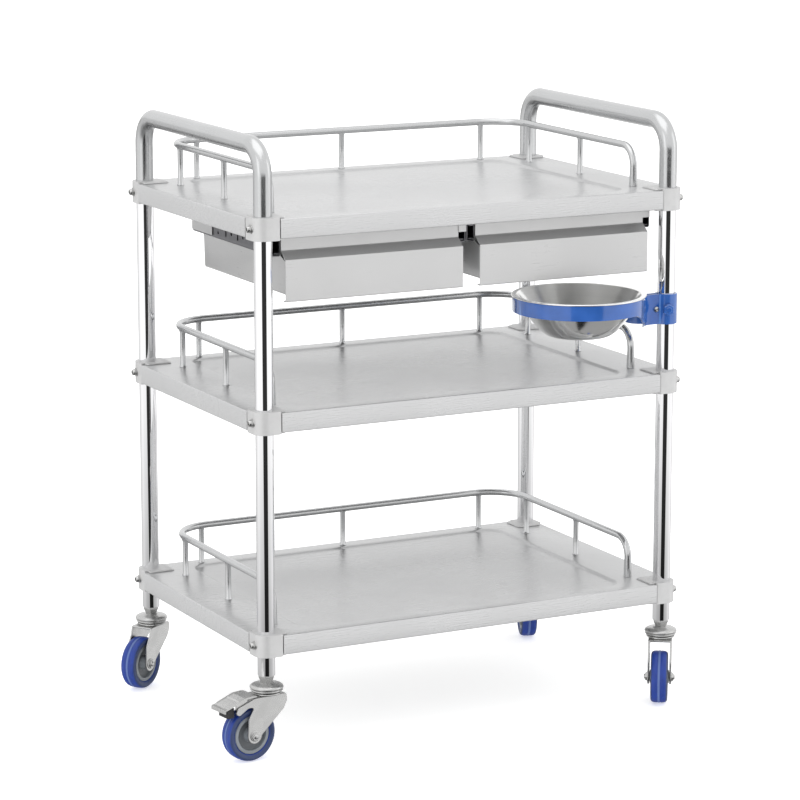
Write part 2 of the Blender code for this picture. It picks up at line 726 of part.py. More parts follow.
def fork_mesh(braked):
    """Crown, two side plates, lower race and the axle with its nuts."""
    to_side = Matrix(((1, 0, 0, 0), (0, 0, 1, 0), (0, 1, 0, 0), (0, 0, 0, 1)))
    outer, inner = FORK_HALF_WIDTH, FORK_HALF_WIDTH - FORK_SHEET
    side = fork_side_outline(braked)
    right, left = [moved(outline_solid(side, low, low + FORK_SHEET), to_side) for low in (inner, -outer)]
    crown = box((-0.0215, -inner - 0.001, FORK_TOP - FORK_SHEET), (0.0265, inner + 0.001, FORK_TOP))
    race = cylinder(RACE_RADIUS - 0.0035, (0, 0, FORK_TOP - 0.001), (0, 0, 0.0925), 18)
    pin = AXLE_REACH - 0.001
    axle = cylinder(AXLE_RADIUS, (TRAIL, -pin, WHEEL_RADIUS), (TRAIL, pin, WHEEL_RADIUS), 10)
    nuts = bmesh.new()
    for side_sign in (-1, 1):
        add_cylinder(nuts, 0.0062, (TRAIL, side_sign * (outer - 0.0003), WHEEL_RADIUS),
                     (TRAIL, side_sign * AXLE_REACH, WHEEL_RADIUS), 6, 0.0050)
    return combined(right, joined=[left, crown, race, axle, mesh_of(nuts)])


def tyre_mesh():
    """Tread with rounded shoulders, its axis on Y through the wheel's centre."""
    r, w, bore = WHEEL_RADIUS, TYRE_HALF_WIDTH, HUB_RADIUS + GAP / 2
    profile = [(bore, w - 0.0015), (r - 0.0045, w), (r - 0.0012, w - 0.0030), (r, w - 0.0075), (r, -w + 0.0075),
               (r - 0.0012, -w + 0.0030), (r - 0.0045, -w), (bore, -w + 0.0015)]
    return moved(turned(profile, 24, closed=True), Matrix.Rotation(math.pi / 2, 4, "X"))


def hub_mesh():
    """Moulded core: rim, recessed web and boss, bored for the axle."""
    r, w = HUB_RADIUS - GAP / 2, TYRE_HALF_WIDTH - 0.002
    bore, boss, rim = AXLE_RADIUS + 0.0004, 0.0095, HUB_RADIUS - 0.0045
    half = [(bore, 0.0138), (boss, 0.0138), (boss + 0.001, 0.004), (rim - 0.001, 0.004), (rim, w), (r, w)]
    profile = half + [(x, -z) for x, z in reversed(half)]
    return moved(turned(profile, 18, closed=True), Matrix.Rotation(math.pi / 2, 4, "X"))


def pedal_mesh():
    """Foot pedal: a bent plate with turned-down sides, hung on the fork's arms. Its frame is the pivot."""
    px, pz = PEDAL_PIVOT
    half, sheet = PEDAL_HALF_WIDTH, PEDAL_SHEET
    section = [(0.0265, 0.0935), (0.0440, 0.0925), (0.0740, 0.0818), (0.0780, 0.0813), (0.0780, 0.0758),
               (0.0762, 0.0758), (0.0762, 0.0796), (0.0735, 0.0800), (0.0437, 0.0925 - sheet),
               (0.0265, 0.0935 - sheet)]
    to_side = Matrix(((1, 0, 0, -px), (0, 0, 1, 0), (0, 1, 0, -pz), (0, 0, 0, 1)))
    plate = moved(outline_solid(section, -half, half), to_side)
    cheek = [(0.0400, 0.0920), (0.0580, 0.0868), (0.0580, 0.0740), (0.0510, 0.0740), (0.0400, 0.0800)]
    inner = FORK_HALF_WIDTH - FORK_SHEET - 0.0005
    cheeks = [moved(outline_solid(cheek, low, high), to_side)
              for low, high in ((inner - 0.0015, inner), (-inner, -inner + 0.0015))]
    return combined(plate, joined=cheeks)


def brake_pad_mesh():
    """Rubber block under the pedal, above the tread. Its frame is the pivot."""
    px, pz = PEDAL_PIVOT
    half = TYRE_HALF_WIDTH - 0.001
    return box((0.0590 - px, -half, 0.0665 - pz), (0.0700 - px, half, 0.0805 - pz))


def build_casters():
    stem, tyre, hub = caster_stem_mesh(), tyre_mesh(), hub_mesh()
    forks = {braked: fork_mesh(braked) for braked in (False, True)}
    for corner, heading in CASTER_HEADINGS.items():
        x, y = leg_place(corner)
        braked = corner == "front_left"
        place(f"caster_stem_{corner}", stem, PLATED, FRAME, (x, y, 0))
        swivel = new_empty(f"swivel_axis_{corner}", (x, y, 0), FRAME, heading)
        place(f"caster_fork_{corner}", forks[braked], PLATED, swivel)
        spin = new_empty(f"wheel_axis_{corner}", (TRAIL, 0, WHEEL_RADIUS), swivel)
        place(f"caster_hub_{corner}", hub, GREY_PLASTIC, spin)
        place(f"caster_tyre_{corner}", tyre, BLUE_TYRE, spin)
        if braked:
            pivot = new_empty("brake_pedal_axis", (PEDAL_PIVOT[0], 0, PEDAL_PIVOT[1]), swivel)
            place("brake_pedal", pedal_mesh(), PLATED, pivot)
            place("brake_pad", brake_pad_mesh(), BLACK_RUBBER, pivot)


clear_scene()
CART = new_collection("instrument_cart")
CUTTERS = new_collection("cutters")
CHROME = make_material("chrome_tube", (0.86, 0.86, 0.87), 0.05, 1.0)
SATIN = make_material("satin_tube", (0.72, 0.72, 0.73), 0.28, 1.0)
SHELF_STEEL = make_material("shelf_sheet", (0.74, 0.74, 0.75), 0.32, 1.0)
DRAWER_STEEL = make_material("drawer_sheet", (0.66, 0.66, 0.66), 0.36, 1.0)
FRONT_STEEL = make_material("drawer_front_sheet", (0.74, 0.74, 0.74), 0.34, 1.0)
SLIDE_STEEL = make_material("slide_steel", (0.22, 0.22, 0.23), 0.42, 1.0)
HANGER_STEEL = make_material("hanger_sheet", (0.66, 0.66, 0.66), 0.40, 1.0)
CLAMP_METAL = make_material("clamp_casting", (0.72, 0.72, 0.72), 0.42, 0.6)
BLUE_PAINT = make_material("blue_enamel", (0.03, 0.12, 0.50), 0.22, 0.0)
BOWL_STEEL = make_material("bowl_steel", (0.75, 0.75, 0.74), 0.15, 1.0)
PLATED = make_material("plated_steel", (0.66, 0.66, 0.65), 0.30, 1.0)
GREY_PLASTIC = make_material("grey_plastic", (0.42, 0.45, 0.45), 0.5, 0.0)
BLUE_TYRE = make_material("blue_tread", (0.04, 0.10, 0.42), 0.45, 0.0)
BLACK_RUBBER = make_material("black_rubber", (0.03, 0.03, 0.03), 0.7, 0.0)

FRAME = new_empty("cart_frame", (*CART_CENTRE, 0))
build_frame()
build_drawers()
build_basin()
build_casters()
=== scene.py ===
"""Looks of the instrument cart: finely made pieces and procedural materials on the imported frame."""
import json
import math

import bmesh
import bpy
from mathutils import Matrix, Vector


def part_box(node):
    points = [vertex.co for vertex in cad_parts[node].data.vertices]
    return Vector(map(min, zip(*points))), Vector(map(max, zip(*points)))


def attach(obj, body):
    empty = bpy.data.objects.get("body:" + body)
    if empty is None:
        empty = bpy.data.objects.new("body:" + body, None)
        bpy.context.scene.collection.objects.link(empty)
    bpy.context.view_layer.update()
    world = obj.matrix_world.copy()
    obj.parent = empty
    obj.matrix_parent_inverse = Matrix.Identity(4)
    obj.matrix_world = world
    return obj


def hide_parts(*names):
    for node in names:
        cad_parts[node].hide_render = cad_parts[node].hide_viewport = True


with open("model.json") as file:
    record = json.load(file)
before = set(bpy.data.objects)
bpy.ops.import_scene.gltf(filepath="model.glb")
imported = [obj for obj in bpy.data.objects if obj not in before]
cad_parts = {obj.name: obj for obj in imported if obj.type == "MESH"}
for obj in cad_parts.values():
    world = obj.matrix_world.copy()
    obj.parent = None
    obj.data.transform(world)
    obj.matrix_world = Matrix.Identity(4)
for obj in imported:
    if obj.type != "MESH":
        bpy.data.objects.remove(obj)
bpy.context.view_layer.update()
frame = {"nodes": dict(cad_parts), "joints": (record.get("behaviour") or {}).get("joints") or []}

CORNERS = {"front_left": (-1, -1), "front_right": (1, -1), "rear_left": (-1, 1), "rear_right": (1, 1)}
LEVELS = ("top", "middle", "bottom")
SIDES = {"left": -1, "right": 1}
SHEET = 0.0012
NOTCH = 0.036
LIP = 0.027  # reach of a clamp's lip from its leg's centre


# ---------------------------------------------------------------- materials

class Nodes:
    """A material's node tree, with its Principled shader and object coordinates at hand."""

    def __init__(self, name, colour, metallic, roughness):
        self.material = bpy.data.materials.new(name)
        self.material.use_nodes = True
        self.tree = self.material.node_tree
        self.shader = self.tree.nodes["Principled BSDF"]
        self.shader.inputs["Base Color"].default_value = (*colour, 1)
        self.shader.inputs["Metallic"].default_value = metallic
        self.shader.inputs["Roughness"].default_value = roughness
        self.place = self.add("ShaderNodeTexCoord").outputs["Object"]

    def add(self, kind, **values):
        node = self.tree.nodes.new(kind)
        for key, value in values.items():
            setattr(node, key, value)
        return node

    def link(self, output, target):
        self.tree.links.new(output, target)

    def stretched(self, scale, source=None):
        mapping = self.add("ShaderNodeMapping")
        mapping.inputs["Scale"].default_value = scale
        self.link(source or self.place, mapping.inputs["Vector"])
        return mapping.outputs["Vector"]

    def noise(self, scale, detail=4, source=None, roughness=0.55):
        """Noise from 0 to 1; scale is in features per metre, or one number for each axis."""
        node = self.add("ShaderNodeTexNoise")
        node.inputs["Detail"].default_value = detail
        node.inputs["Roughness"].default_value = roughness
        if isinstance(scale, tuple):
            node.inputs["Scale"].default_value = 1
            self.link(self.stretched(scale, source), node.inputs["Vector"])
        else:
            node.inputs["Scale"].default_value = scale
            self.link(source or self.place, node.inputs["Vector"])
        return node.outputs["Fac"]

    def spread(self, value, low, high, start=0.3, end=0.7):
        node = self.add("ShaderNodeMapRange")
        node.inputs["From Min"].default_value = start
        node.inputs["From Max"].default_value = end
        node.inputs["To Min"].default_value = low
        node.inputs["To Max"].default_value = high
        self.link(value, node.inputs["Value"])
        return node.outputs["Result"]

    def maths(self, operation, a, b):
        node = self.add("ShaderNodeMath", operation=operation)
        for socket, value in zip(node.inputs, (a, b)):
            if isinstance(value, (int, float)):
                socket.default_value = value
            else:
                self.link(value, socket)
        return node.outputs[0]

    def radius(self):
        """Distance from the object's own Z axis."""
        split = self.add("ShaderNodeSeparateXYZ")
        self.link(self.place, split.inputs[0])
        x, y = split.outputs[0], split.outputs[1]
        squares = self.maths("ADD", self.maths("MULTIPLY", x, x), self.maths("MULTIPLY", y, y))
        return self.maths("POWER", squares, 0.5)

    def blend(self, factor, a, b):
        node = self.add("ShaderNodeMix", data_type="RGBA")
        self.link(factor, node.inputs["Factor"])
        for socket, value in ((node.inputs[6], a), (node.inputs[7], b)):
            if isinstance(value, tuple):
                socket.default_value = (*value, 1)
            else:
                self.link(value, socket)
        return node.outputs[2]

    def bump(self, height, distance, strength=1.0):
        node = self.add("ShaderNodeBump")
        node.inputs["Distance"].default_value = distance
        node.inputs["Strength"].default_value = strength
        self.link(height, node.inputs["Height"])
        self.link(node.outputs["Normal"], self.shader.inputs["Normal"])


def shade(colour, factor):
    return tuple(min(1.0, c * factor) for c in colour)


def brushed(name, colour, roughness, grain, depth=0.00001, contrast=0.05, run=False, edge_wear_and_highlight=0.10, blotch=9.0,
            metal=1.0):
    """Metal with a fine directional grain, faint clouding, handling marks, and convex edges made lighter,
    partly as rubbed wear and partly as a painted highlight.
    """
    m = Nodes(name, colour, metal, roughness)
    source = None
    if run:
        source = m.add("ShaderNodeAttribute", attribute_name="run").outputs["Vector"]
    lines = m.noise(grain, 5, source, 0.62)
    clouds = m.noise(blotch, 3)
    marks = m.noise(blotch * 7, 5)
    tone = m.blend(m.spread(lines, 0, 1), shade(colour, 1 - contrast), shade(colour, 1 + contrast))
    tone = m.blend(m.spread(clouds, 0, 0.35), tone, shade(colour, 0.90))
    # convex edges lighter: partly rubbed wear, partly a painted highlight
    edge = m.spread(m.add("ShaderNodeNewGeometry").outputs["Pointiness"], 0, edge_wear_and_highlight * 4, 0.51, 0.58)
    tone = m.blend(edge, tone, shade(colour, 1.18))
    m.link(tone, m.shader.inputs["Base Color"])
    rough = m.maths("ADD", m.spread(lines, roughness * 0.80, roughness * 1.15), m.spread(clouds, -0.02, 0.03))
    rough = m.maths("ADD", rough, m.spread(marks, 0, 0.05, 0.58, 0.72))
    m.link(rough, m.shader.inputs["Roughness"])
    m.bump(lines, depth)
    return m.material


def chrome(name, colour, roughness):
    """Mirror plating: a trace of drawing lines and faint haze."""
    m = Nodes(name, colour, 1.0, roughness)
    lines = m.noise((260, 260, 3), 3)
    haze = m.noise(14, 4)
    tone = m.blend(m.spread(haze, 0, 1), shade(colour, 0.97), shade(colour, 1.02))
    m.link(tone, m.shader.inputs["Base Color"])
    m.link(m.maths("ADD", m.spread(haze, roughness * 0.7, roughness * 1.4), m.spread(lines, -0.004, 0.006)),
           m.shader.inputs["Roughness"])
    m.bump(lines, 0.0000004)
    return m.material


def cast(name, colour, metallic, roughness, grain=900, depth=0.00006, mottle=0.08):
    """Fine-grained casting or zinc plating: speckle, soft mottling and edges made brighter, partly as rubbed
    wear and partly as a painted highlight.
    """
    m = Nodes(name, colour, metallic, roughness)
    speckle = m.noise(grain, 4)
    mottling = m.noise(90, 5)
    tone = m.blend(m.spread(speckle, 0, 1), shade(colour, 1 - mottle), shade(colour, 1 + mottle))
    tone = m.blend(m.spread(mottling, 0, 0.5), tone, shade(colour, 0.86))
    # convex edges brighter: partly rubbed wear, partly a painted highlight
    edge = m.spread(m.add("ShaderNodeNewGeometry").outputs["Pointiness"], 0, 0.6, 0.51, 0.60)
    tone = m.blend(edge, tone, shade(colour, 1.2))
    m.link(tone, m.shader.inputs["Base Color"])
    grain_rough = m.spread(speckle, roughness - 0.05, roughness + 0.05)
    m.link(m.maths("ADD", grain_rough, m.spread(mottling, -0.03, 0.05)), m.shader.inputs["Roughness"])
    m.bump(speckle, depth)
    return m.material


def enamel(name, colour, roughness):
    """Thick glossy paint on bent strip: orange peel, a shift of depth and paler blue edges, partly worn paint
    and partly a painted highlight.
    """
    m = Nodes(name, colour, 0.0, roughness)
    m.shader.inputs["Coat Weight"].default_value = 0.8
    m.shader.inputs["Coat Roughness"].default_value = 0.06
    peel = m.noise(420, 2)
    drift = m.noise(26, 3)
    tone = m.blend(m.spread(drift, 0, 1), shade(colour, 0.80), shade(colour, 1.15))
    # edges paler blue: partly worn paint, partly a painted highlight
    edge = m.spread(m.add("ShaderNodeNewGeometry").outputs["Pointiness"], 0, 0.7, 0.52, 0.62)
    tone = m.blend(edge, tone, (0.16, 0.34, 0.78))
    m.link(tone, m.shader.inputs["Base Color"])
    m.link(m.spread(drift, roughness * 0.8, roughness * 1.5), m.shader.inputs["Roughness"])
    m.bump(peel, 0.00005)
    return m.material


def moulded(name, colour, roughness, grain=700, depth=0.00005, dust=(0.5, 0.52, 0.55), dust_share=0.12,
            recess=None):
    """Moulded plastic or rubber: fine grain, flow marks and dust. recess gives the two radii of a ring
    darkened as painted shade over a recessed web.
    """
    m = Nodes(name, colour, 0.0, roughness)
    fine = m.noise(grain, 3)
    flow = m.noise(60, 4)
    specks = m.noise(1500, 2)
    tone = m.blend(m.spread(flow, 0, 1), shade(colour, 0.86), shade(colour, 1.14))
    tone = m.blend(m.spread(specks, 0, dust_share, 0.55, 0.75), tone, dust)
    # painted shade: a darker ring where the recessed web lies
    if recess:
        out = m.radius()
        inside = m.maths("MULTIPLY", m.spread(out, 0, 1, recess[0], recess[0] + 0.002),
                         m.spread(out, 1, 0, recess[1] - 0.002, recess[1]))
        tone = m.blend(m.maths("MULTIPLY", inside, 0.75), tone, shade(colour, 0.30))
    m.link(tone, m.shader.inputs["Base Color"])
    m.link(m.maths("ADD", m.spread(fine, roughness - 0.06, roughness + 0.06), m.spread(flow, -0.04, 0.05)),
           m.shader.inputs["Roughness"])
    m.bump(fine, depth)
    return m.material


def tread(name, colour, roughness):
    """Moulded tyre: a paler line round the middle of the tread, darker side walls, fine grain and scuffs."""
    m = Nodes(name, colour, 0.0, roughness)
    split = m.add("ShaderNodeSeparateXYZ")
    m.link(m.place, split.inputs[0])
    across = m.maths("ABSOLUTE", split.outputs[2], 0)
    flow = m.noise(60, 4)
    scuffs = m.noise((60, 60, 900), 4)
    tone = m.blend(m.spread(flow, 0, 1), shade(colour, 0.82), shade(colour, 1.18))
    tone = m.blend(m.spread(scuffs, 0, 0.08, 0.50, 0.75), tone, shade(colour, 2.1))
    tone = m.blend(m.spread(across, 0.55, 0, 0.0009, 0.0022), tone, (0.16, 0.24, 0.46))
    tone = m.blend(m.spread(across, 0, 0.80, 0.0094, 0.0110), tone, (0.030, 0.045, 0.085))
    m.link(tone, m.shader.inputs["Base Color"])
    m.link(m.spread(flow, roughness - 0.05, roughness + 0.10), m.shader.inputs["Roughness"])
    m.bump(m.noise(800, 3), 0.00003)
    return m.material


def spun(name, colour, roughness):
    """Spun steel: faint rings round the bowl's own axis, and clouding."""
    m = Nodes(name, colour, 1.0, roughness)
    split = m.add("ShaderNodeSeparateXYZ")
    m.link(m.place, split.inputs[0])
    join = m.add("ShaderNodeCombineXYZ")
    m.link(m.radius(), join.inputs[0])
    m.link(split.outputs[2], join.inputs[2])
    rings = m.noise((900, 1, 900), 3, join.outputs[0])
    clouds = m.noise(30, 4)
    tone = m.blend(m.spread(rings, 0, 1), shade(colour, 0.94), shade(colour, 1.05))
    tone = m.blend(m.spread(clouds, 0, 0.4), tone, shade(colour, 0.90))
    m.link(tone, m.shader.inputs["Base Color"])
    m.link(m.maths("ADD", m.spread(rings, roughness * 0.8, roughness * 1.3), m.spread(clouds, -0.02, 0.04)),
           m.shader.inputs["Roughness"])
    m.bump(rings, 0.00001)
    return m.material


SHEET_METAL = 0.65  # satin sheet scatters part of its light like a matt surface

MAT = {
    "chrome_tube": chrome("chrome_tube_look", (0.93, 0.93, 0.94), 0.02),
    "satin_tube": brushed("satin_tube_look", (0.56, 0.565, 0.57), 0.24, (900, 900, 20), contrast=0.035,
                          depth=0.000003, run=True),
    "shelf_sheet": brushed("shelf_sheet_look", (0.555, 0.557, 0.56), 0.30, (26, 2400, 2400), contrast=0.010,
                           depth=0.0000004, blotch=5, metal=SHEET_METAL),
    "drawer_sheet": brushed("drawer_sheet_look", (0.485, 0.485, 0.485), 0.34, (2000, 26, 2000), contrast=0.02,
                            depth=0.0000010, metal=SHEET_METAL),
    "drawer_front_sheet": brushed("drawer_front_look", (0.55, 0.55, 0.55), 0.34, (26, 2400, 2400),
                                  contrast=0.010, depth=0.0000004, metal=SHEET_METAL),
    # slide steel dark grey: partly its own dark plating, partly painted shade of its recess under the shelf
    "slide_steel": cast("slide_steel_look", (0.19, 0.19, 0.20), 1.0, 0.40, depth=0.00001),
    "hanger_sheet": brushed("hanger_sheet_look", (0.54, 0.54, 0.54), 0.38, (2000, 26, 2000), contrast=0.02,
                            depth=0.000001),
    "clamp_casting": cast("clamp_casting_look", (0.545, 0.545, 0.545), 0.35, 0.42, grain=1400, depth=0.00002,
                          mottle=0.03),
    "blue_enamel": enamel("blue_enamel_look", (0.011, 0.080, 0.335), 0.18),
    "bowl_steel": spun("bowl_steel_look", (0.93, 0.93, 0.92), 0.13),
    "plated_steel": cast("plated_steel_look", (0.53, 0.53, 0.525), 1.0, 0.28, grain=700, depth=0.00002),
    # the hub's recessed web gets a ring of painted shade
    "grey_plastic": moulded("grey_plastic_look", (0.20, 0.218, 0.235), 0.45, recess=(0.0096, 0.0218)),
    "blue_tread": tread("blue_tread_look", (0.006, 0.036, 0.26), 0.45),
    "black_rubber": moulded("black_rubber_look", (0.02, 0.02, 0.021), 0.65, depth=0.0001),
}


# ---------------------------------------------------------------- shapes

def fillet(points, radius, steps=5, closed=False):
    """The polyline with its corners rounded; radius is one number or one for each point."""
    points = [Vector(p) for p in points]
    result = []
    for i, p in enumerate(points):
        r = radius[i] if isinstance(radius, (list, tuple)) else radius
        a, b = points[i - 1] - p, points[(i + 1) % len(points)] - p
        if r <= 0 or (not closed and i in (0, len(points) - 1)) or a.angle(b) > 3.1:
            result.append(p)
            continue
        half = a.angle(b) / 2
        cut = min(r / math.tan(half), 0.49 * a.length, 0.49 * b.length)
        r = cut * math.tan(half)
        a.normalize()
        b.normalize()
        centre = p + (a + b).normalized() * r / math.sin(half)
        start, end = (p + a * cut - centre).normalized(), (p + b * cut - centre).normalized()
        result += [centre + start.slerp(end, k / steps) * r for k in range(steps + 1)]
    return result


def rounded_box_outline(half_x, half_y, radius, steps=8):
    corners = [(half_x, -half_y), (half_x, half_y), (-half_x, half_y), (-half_x, -half_y)]
    return fillet(corners, radius, steps, closed=True)


def lathe(bm, profile, steps=64, closed=False, matrix=None):
    """Turns (radius, height) points round Z; closed joins the last point to the first."""
    loops = []
    for r, z in profile:
        if r < 1e-6:
            loops.append([bm.verts.new((0, 0, z))])
        else:
            angles = [math.tau * k / steps for k in range(steps)]
            loops.append([bm.verts.new((r * math.cos(a), r * math.sin(a), z)) for a in angles])
    pairs = list(zip(loops, loops[1:])) + ([(loops[-1], loops[0])] if closed else [])
    for a, b in pairs:
        for k in range(steps):
            ring = [a[k % len(a)], a[(k + 1) % len(a)], b[(k + 1) % len(b)], b[k % len(b)]]
            ring = list(dict.fromkeys(ring))
            if len(ring) > 2:
                bm.faces.new(ring)
    if matrix is not None:
        bmesh.ops.transform(bm, matrix=matrix, verts=[v for loop in loops for v in loop])


def bridge(bm, rings, wrap=True):
    for a, b in zip(rings, rings[1:]):
        count = len(a) if wrap else len(a) - 1
        for k in range(count):
            bm.faces.new((a[k], a[(k + 1) % len(a)], b[(k + 1) % len(b)], b[k]))


def sweep(bm, path, radius, sides=24):
    """A round bar along a path. Each vertex keeps its place round and along the bar for the grain."""
    run = bm.verts.layers.float_vector.get("run") or bm.verts.layers.float_vector.new("run")
    path = [Vector(p) for p in path]
    radii = radius if isinstance(radius, (list, tuple)) else [radius] * len(path)
    rings, normal, before, length = [], None, None, 0.0
    for i, p in enumerate(path):
        tangent = (path[min(i + 1, len(path) - 1)] - path[max(i - 1, 0)]).normalized()
        if before is None:
            normal = tangent.orthogonal().normalized()
        else:
            normal = before.rotation_difference(tangent) @ normal
            length += (p - path[i - 1]).length
        before = tangent
        side = tangent.cross(normal)
        ring = []
        for k in range(sides):
            a = math.tau * k / sides
            out = (normal * math.cos(a) + side * math.sin(a)) * radii[i]
            vert = bm.verts.new(p + out)
            vert[run] = (radii[i] * math.cos(a), radii[i] * math.sin(a), length)
            ring.append(vert)
        rings.append(ring)
    bridge(bm, rings)
    bm.faces.new(rings[0])
    bm.faces.new(rings[-1])


def prism(bm, outline, low, high, matrix=None):
    """A flat outline in XY extruded from z = low to z = high."""
    rings = [[bm.verts.new((x, y, z)) for x, y in outline] for z in (low, high)]
    bridge(bm, rings)
    for ring in rings:
        bm.faces.new(ring)
    if matrix is not None:
        bmesh.ops.transform(bm, matrix=matrix, verts=rings[0] + rings[1])


def block(bm, low, high):
    prism(bm, [(low[0], low[1]), (high[0], low[1]), (high[0], high[1]), (low[0], high[1])], low[2], high[2])


def ribbon(bm, section, starts, ends):
    """A sheet along X: section is (y, z) points, starts and ends are the x of each point's two ends."""
    rows = [[bm.verts.new((x, y, z)) for x, (y, z) in zip(side, section)] for side in (starts, ends)]
    for a, b, c, d in zip(rows[0], rows[0][1:], rows[1][1:], rows[1]):
        bm.faces.new((a, b, c, d))


def hexagon(across_corners, turn=0.0):
    angles = [turn + math.tau * k / 6 for k in range(6)]
    return [(across_corners * math.cos(a), across_corners * math.sin(a)) for a in angles]


def keep_shape(obj):
    """Turns the object's modifiers into its mesh."""
    bpy.context.view_layer.update()
    shaped = bpy.data.meshes.new_from_object(obj.evaluated_get(bpy.context.evaluated_depsgraph_get()))
    obj.modifiers.clear()
    obj.data = shaped


def piece(name, bm, slot, body, nodes=(), matrix=None, sheet=None, offset=-1, bevel=None, segments=2,
          smooth=35, outward=True):
    """A finished piece: its mesh, material, body and the CAD nodes it stands for."""
    if outward:
        bmesh.ops.recalc_face_normals(bm, faces=bm.faces)
    mesh = bpy.data.meshes.new(name)
    bm.to_mesh(mesh)
    bm.free()
    mesh.materials.append(MAT[slot])
    obj = bpy.data.objects.new(name, mesh)
    bpy.context.scene.collection.objects.link(obj)
    if matrix is not None:
        obj.matrix_world = matrix
    if sheet:
        solid = obj.modifiers.new("sheet", "SOLIDIFY")
        solid.thickness = sheet
        solid.offset = offset
        solid.use_even_offset = True
        keep_shape(obj)
    obj.data.shade_smooth()
    obj.data.set_sharp_from_angle(angle=math.radians(smooth))
    if bevel:
        edge = obj.modifiers.new("edges", "BEVEL")
        edge.width = bevel
        edge.segments = segments
        edge.limit_method = "ANGLE"
        edge.angle_limit = math.radians(35)
        edge.harden_normals = True
    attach(obj, body)
    if nodes:
        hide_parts(*nodes)
    return obj


def bounds_of(node):
    low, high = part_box(node)
    low, high = Vector(low), Vector(high)
    return low, high, (low + high) / 2


# ---------------------------------------------------------------- frame

LEG = {}
for corner in CORNERS:
    low, high, middle = bounds_of(f"leg_{corner}")
    LEG[corner] = middle
LEG_RADIUS = (high.x - low.x) / 2
LEG_BOTTOM, LEG_TOP = low.z, high.z
CENTRE = sum(LEG.values(), Vector()) / 4
LEVEL = {level: bounds_of(f"clamp_{level}_front_left")[2].z for level in LEVELS}


def build_legs():
    inner = LEG_RADIUS - 0.0012
    for corner, middle in LEG.items():
        bm = bmesh.new()
        profile = [(LEG_RADIUS, LEG_TOP), (LEG_RADIUS, LEG_BOTTOM + 0.0006),
                   (LEG_RADIUS - 0.0003, LEG_BOTTOM), (inner, LEG_BOTTOM), (inner, LEG_TOP)]
        lathe(bm, profile, 72, closed=True)
        piece(f"leg_tube_{corner}", bm, "chrome_tube", "cart_frame", [f"leg_{corner}"],
              Matrix.Translation((middle.x, middle.y, 0)))


def build_handles():
    bend = 0.039
    for side in SIDES:
        low, high, middle = bounds_of(f"handle_{side}")
        crown = high.z - LEG_RADIUS
        front, back = low.y + LEG_RADIUS, high.y - LEG_RADIUS
        corners = [(middle.x, front, low.z), (middle.x, front, crown), (middle.x, back, crown),
                   (middle.x, back, low.z)]
        bm = bmesh.new()
        sweep(bm, fillet(corners, bend, 20), LEG_RADIUS, 48)
        piece(f"push_handle_{side}", bm, "satin_tube", "cart_frame", [f"handle_{side}"])


def build_rails():
    radius, post_radius = 0.005, 0.004
    for level in LEVELS:
        low, high, _ = bounds_of(f"guard_rail_{level}")
        left, right = low.x + radius, high.x - radius
        front, back, z, foot = low.y + radius, high.y - radius, high.z - radius, low.z
        corners = [(left, front, foot), (left, front, z), (left, back, z),
                   (right, back, z), (right, front, z), (right, front, foot)]
        path = fillet(corners, [0, 0.038, 0.060, 0.060, 0.038, 0], 14)
        bm = bmesh.new()
        sweep(bm, path, [radius * (1.16 if i in (0, len(path) - 1) else 1) for i in range(len(path))], 20)
        feet = [(CENTRE.x + x, back) for x in (-0.231, 0.0, 0.231)]
        feet += [(x, CENTRE.y + y) for x in (left, right) for y in (0.142, -0.008)]
        for x, y in feet:
            heights = [foot, foot + 0.0008, foot + 0.0022, z - radius - 0.0016, z - radius * 0.6]
            flare = [1.30, 1.22, 1.0, 1.0, 1.28]
            sweep(bm, [(x, y, h) for h in heights], [post_radius * f for f in flare], 20)
        piece(f"rail_{level}", bm, "satin_tube", "cart_frame", [f"guard_rail_{level}"])


def shelf_outline(half_x, half_y, inset):
    out_x, out_y = half_x - inset, half_y - inset
    in_x, in_y = half_x - NOTCH - inset, half_y - NOTCH - inset
    corner = [(out_x, in_y), (in_x, in_y), (in_x, out_y)]
    flipped = [(-x, y) for x, y in reversed(corner)]
    return corner + flipped + [(-x, -y) for x, y in corner] + [(-x, -y) for x, y in flipped]


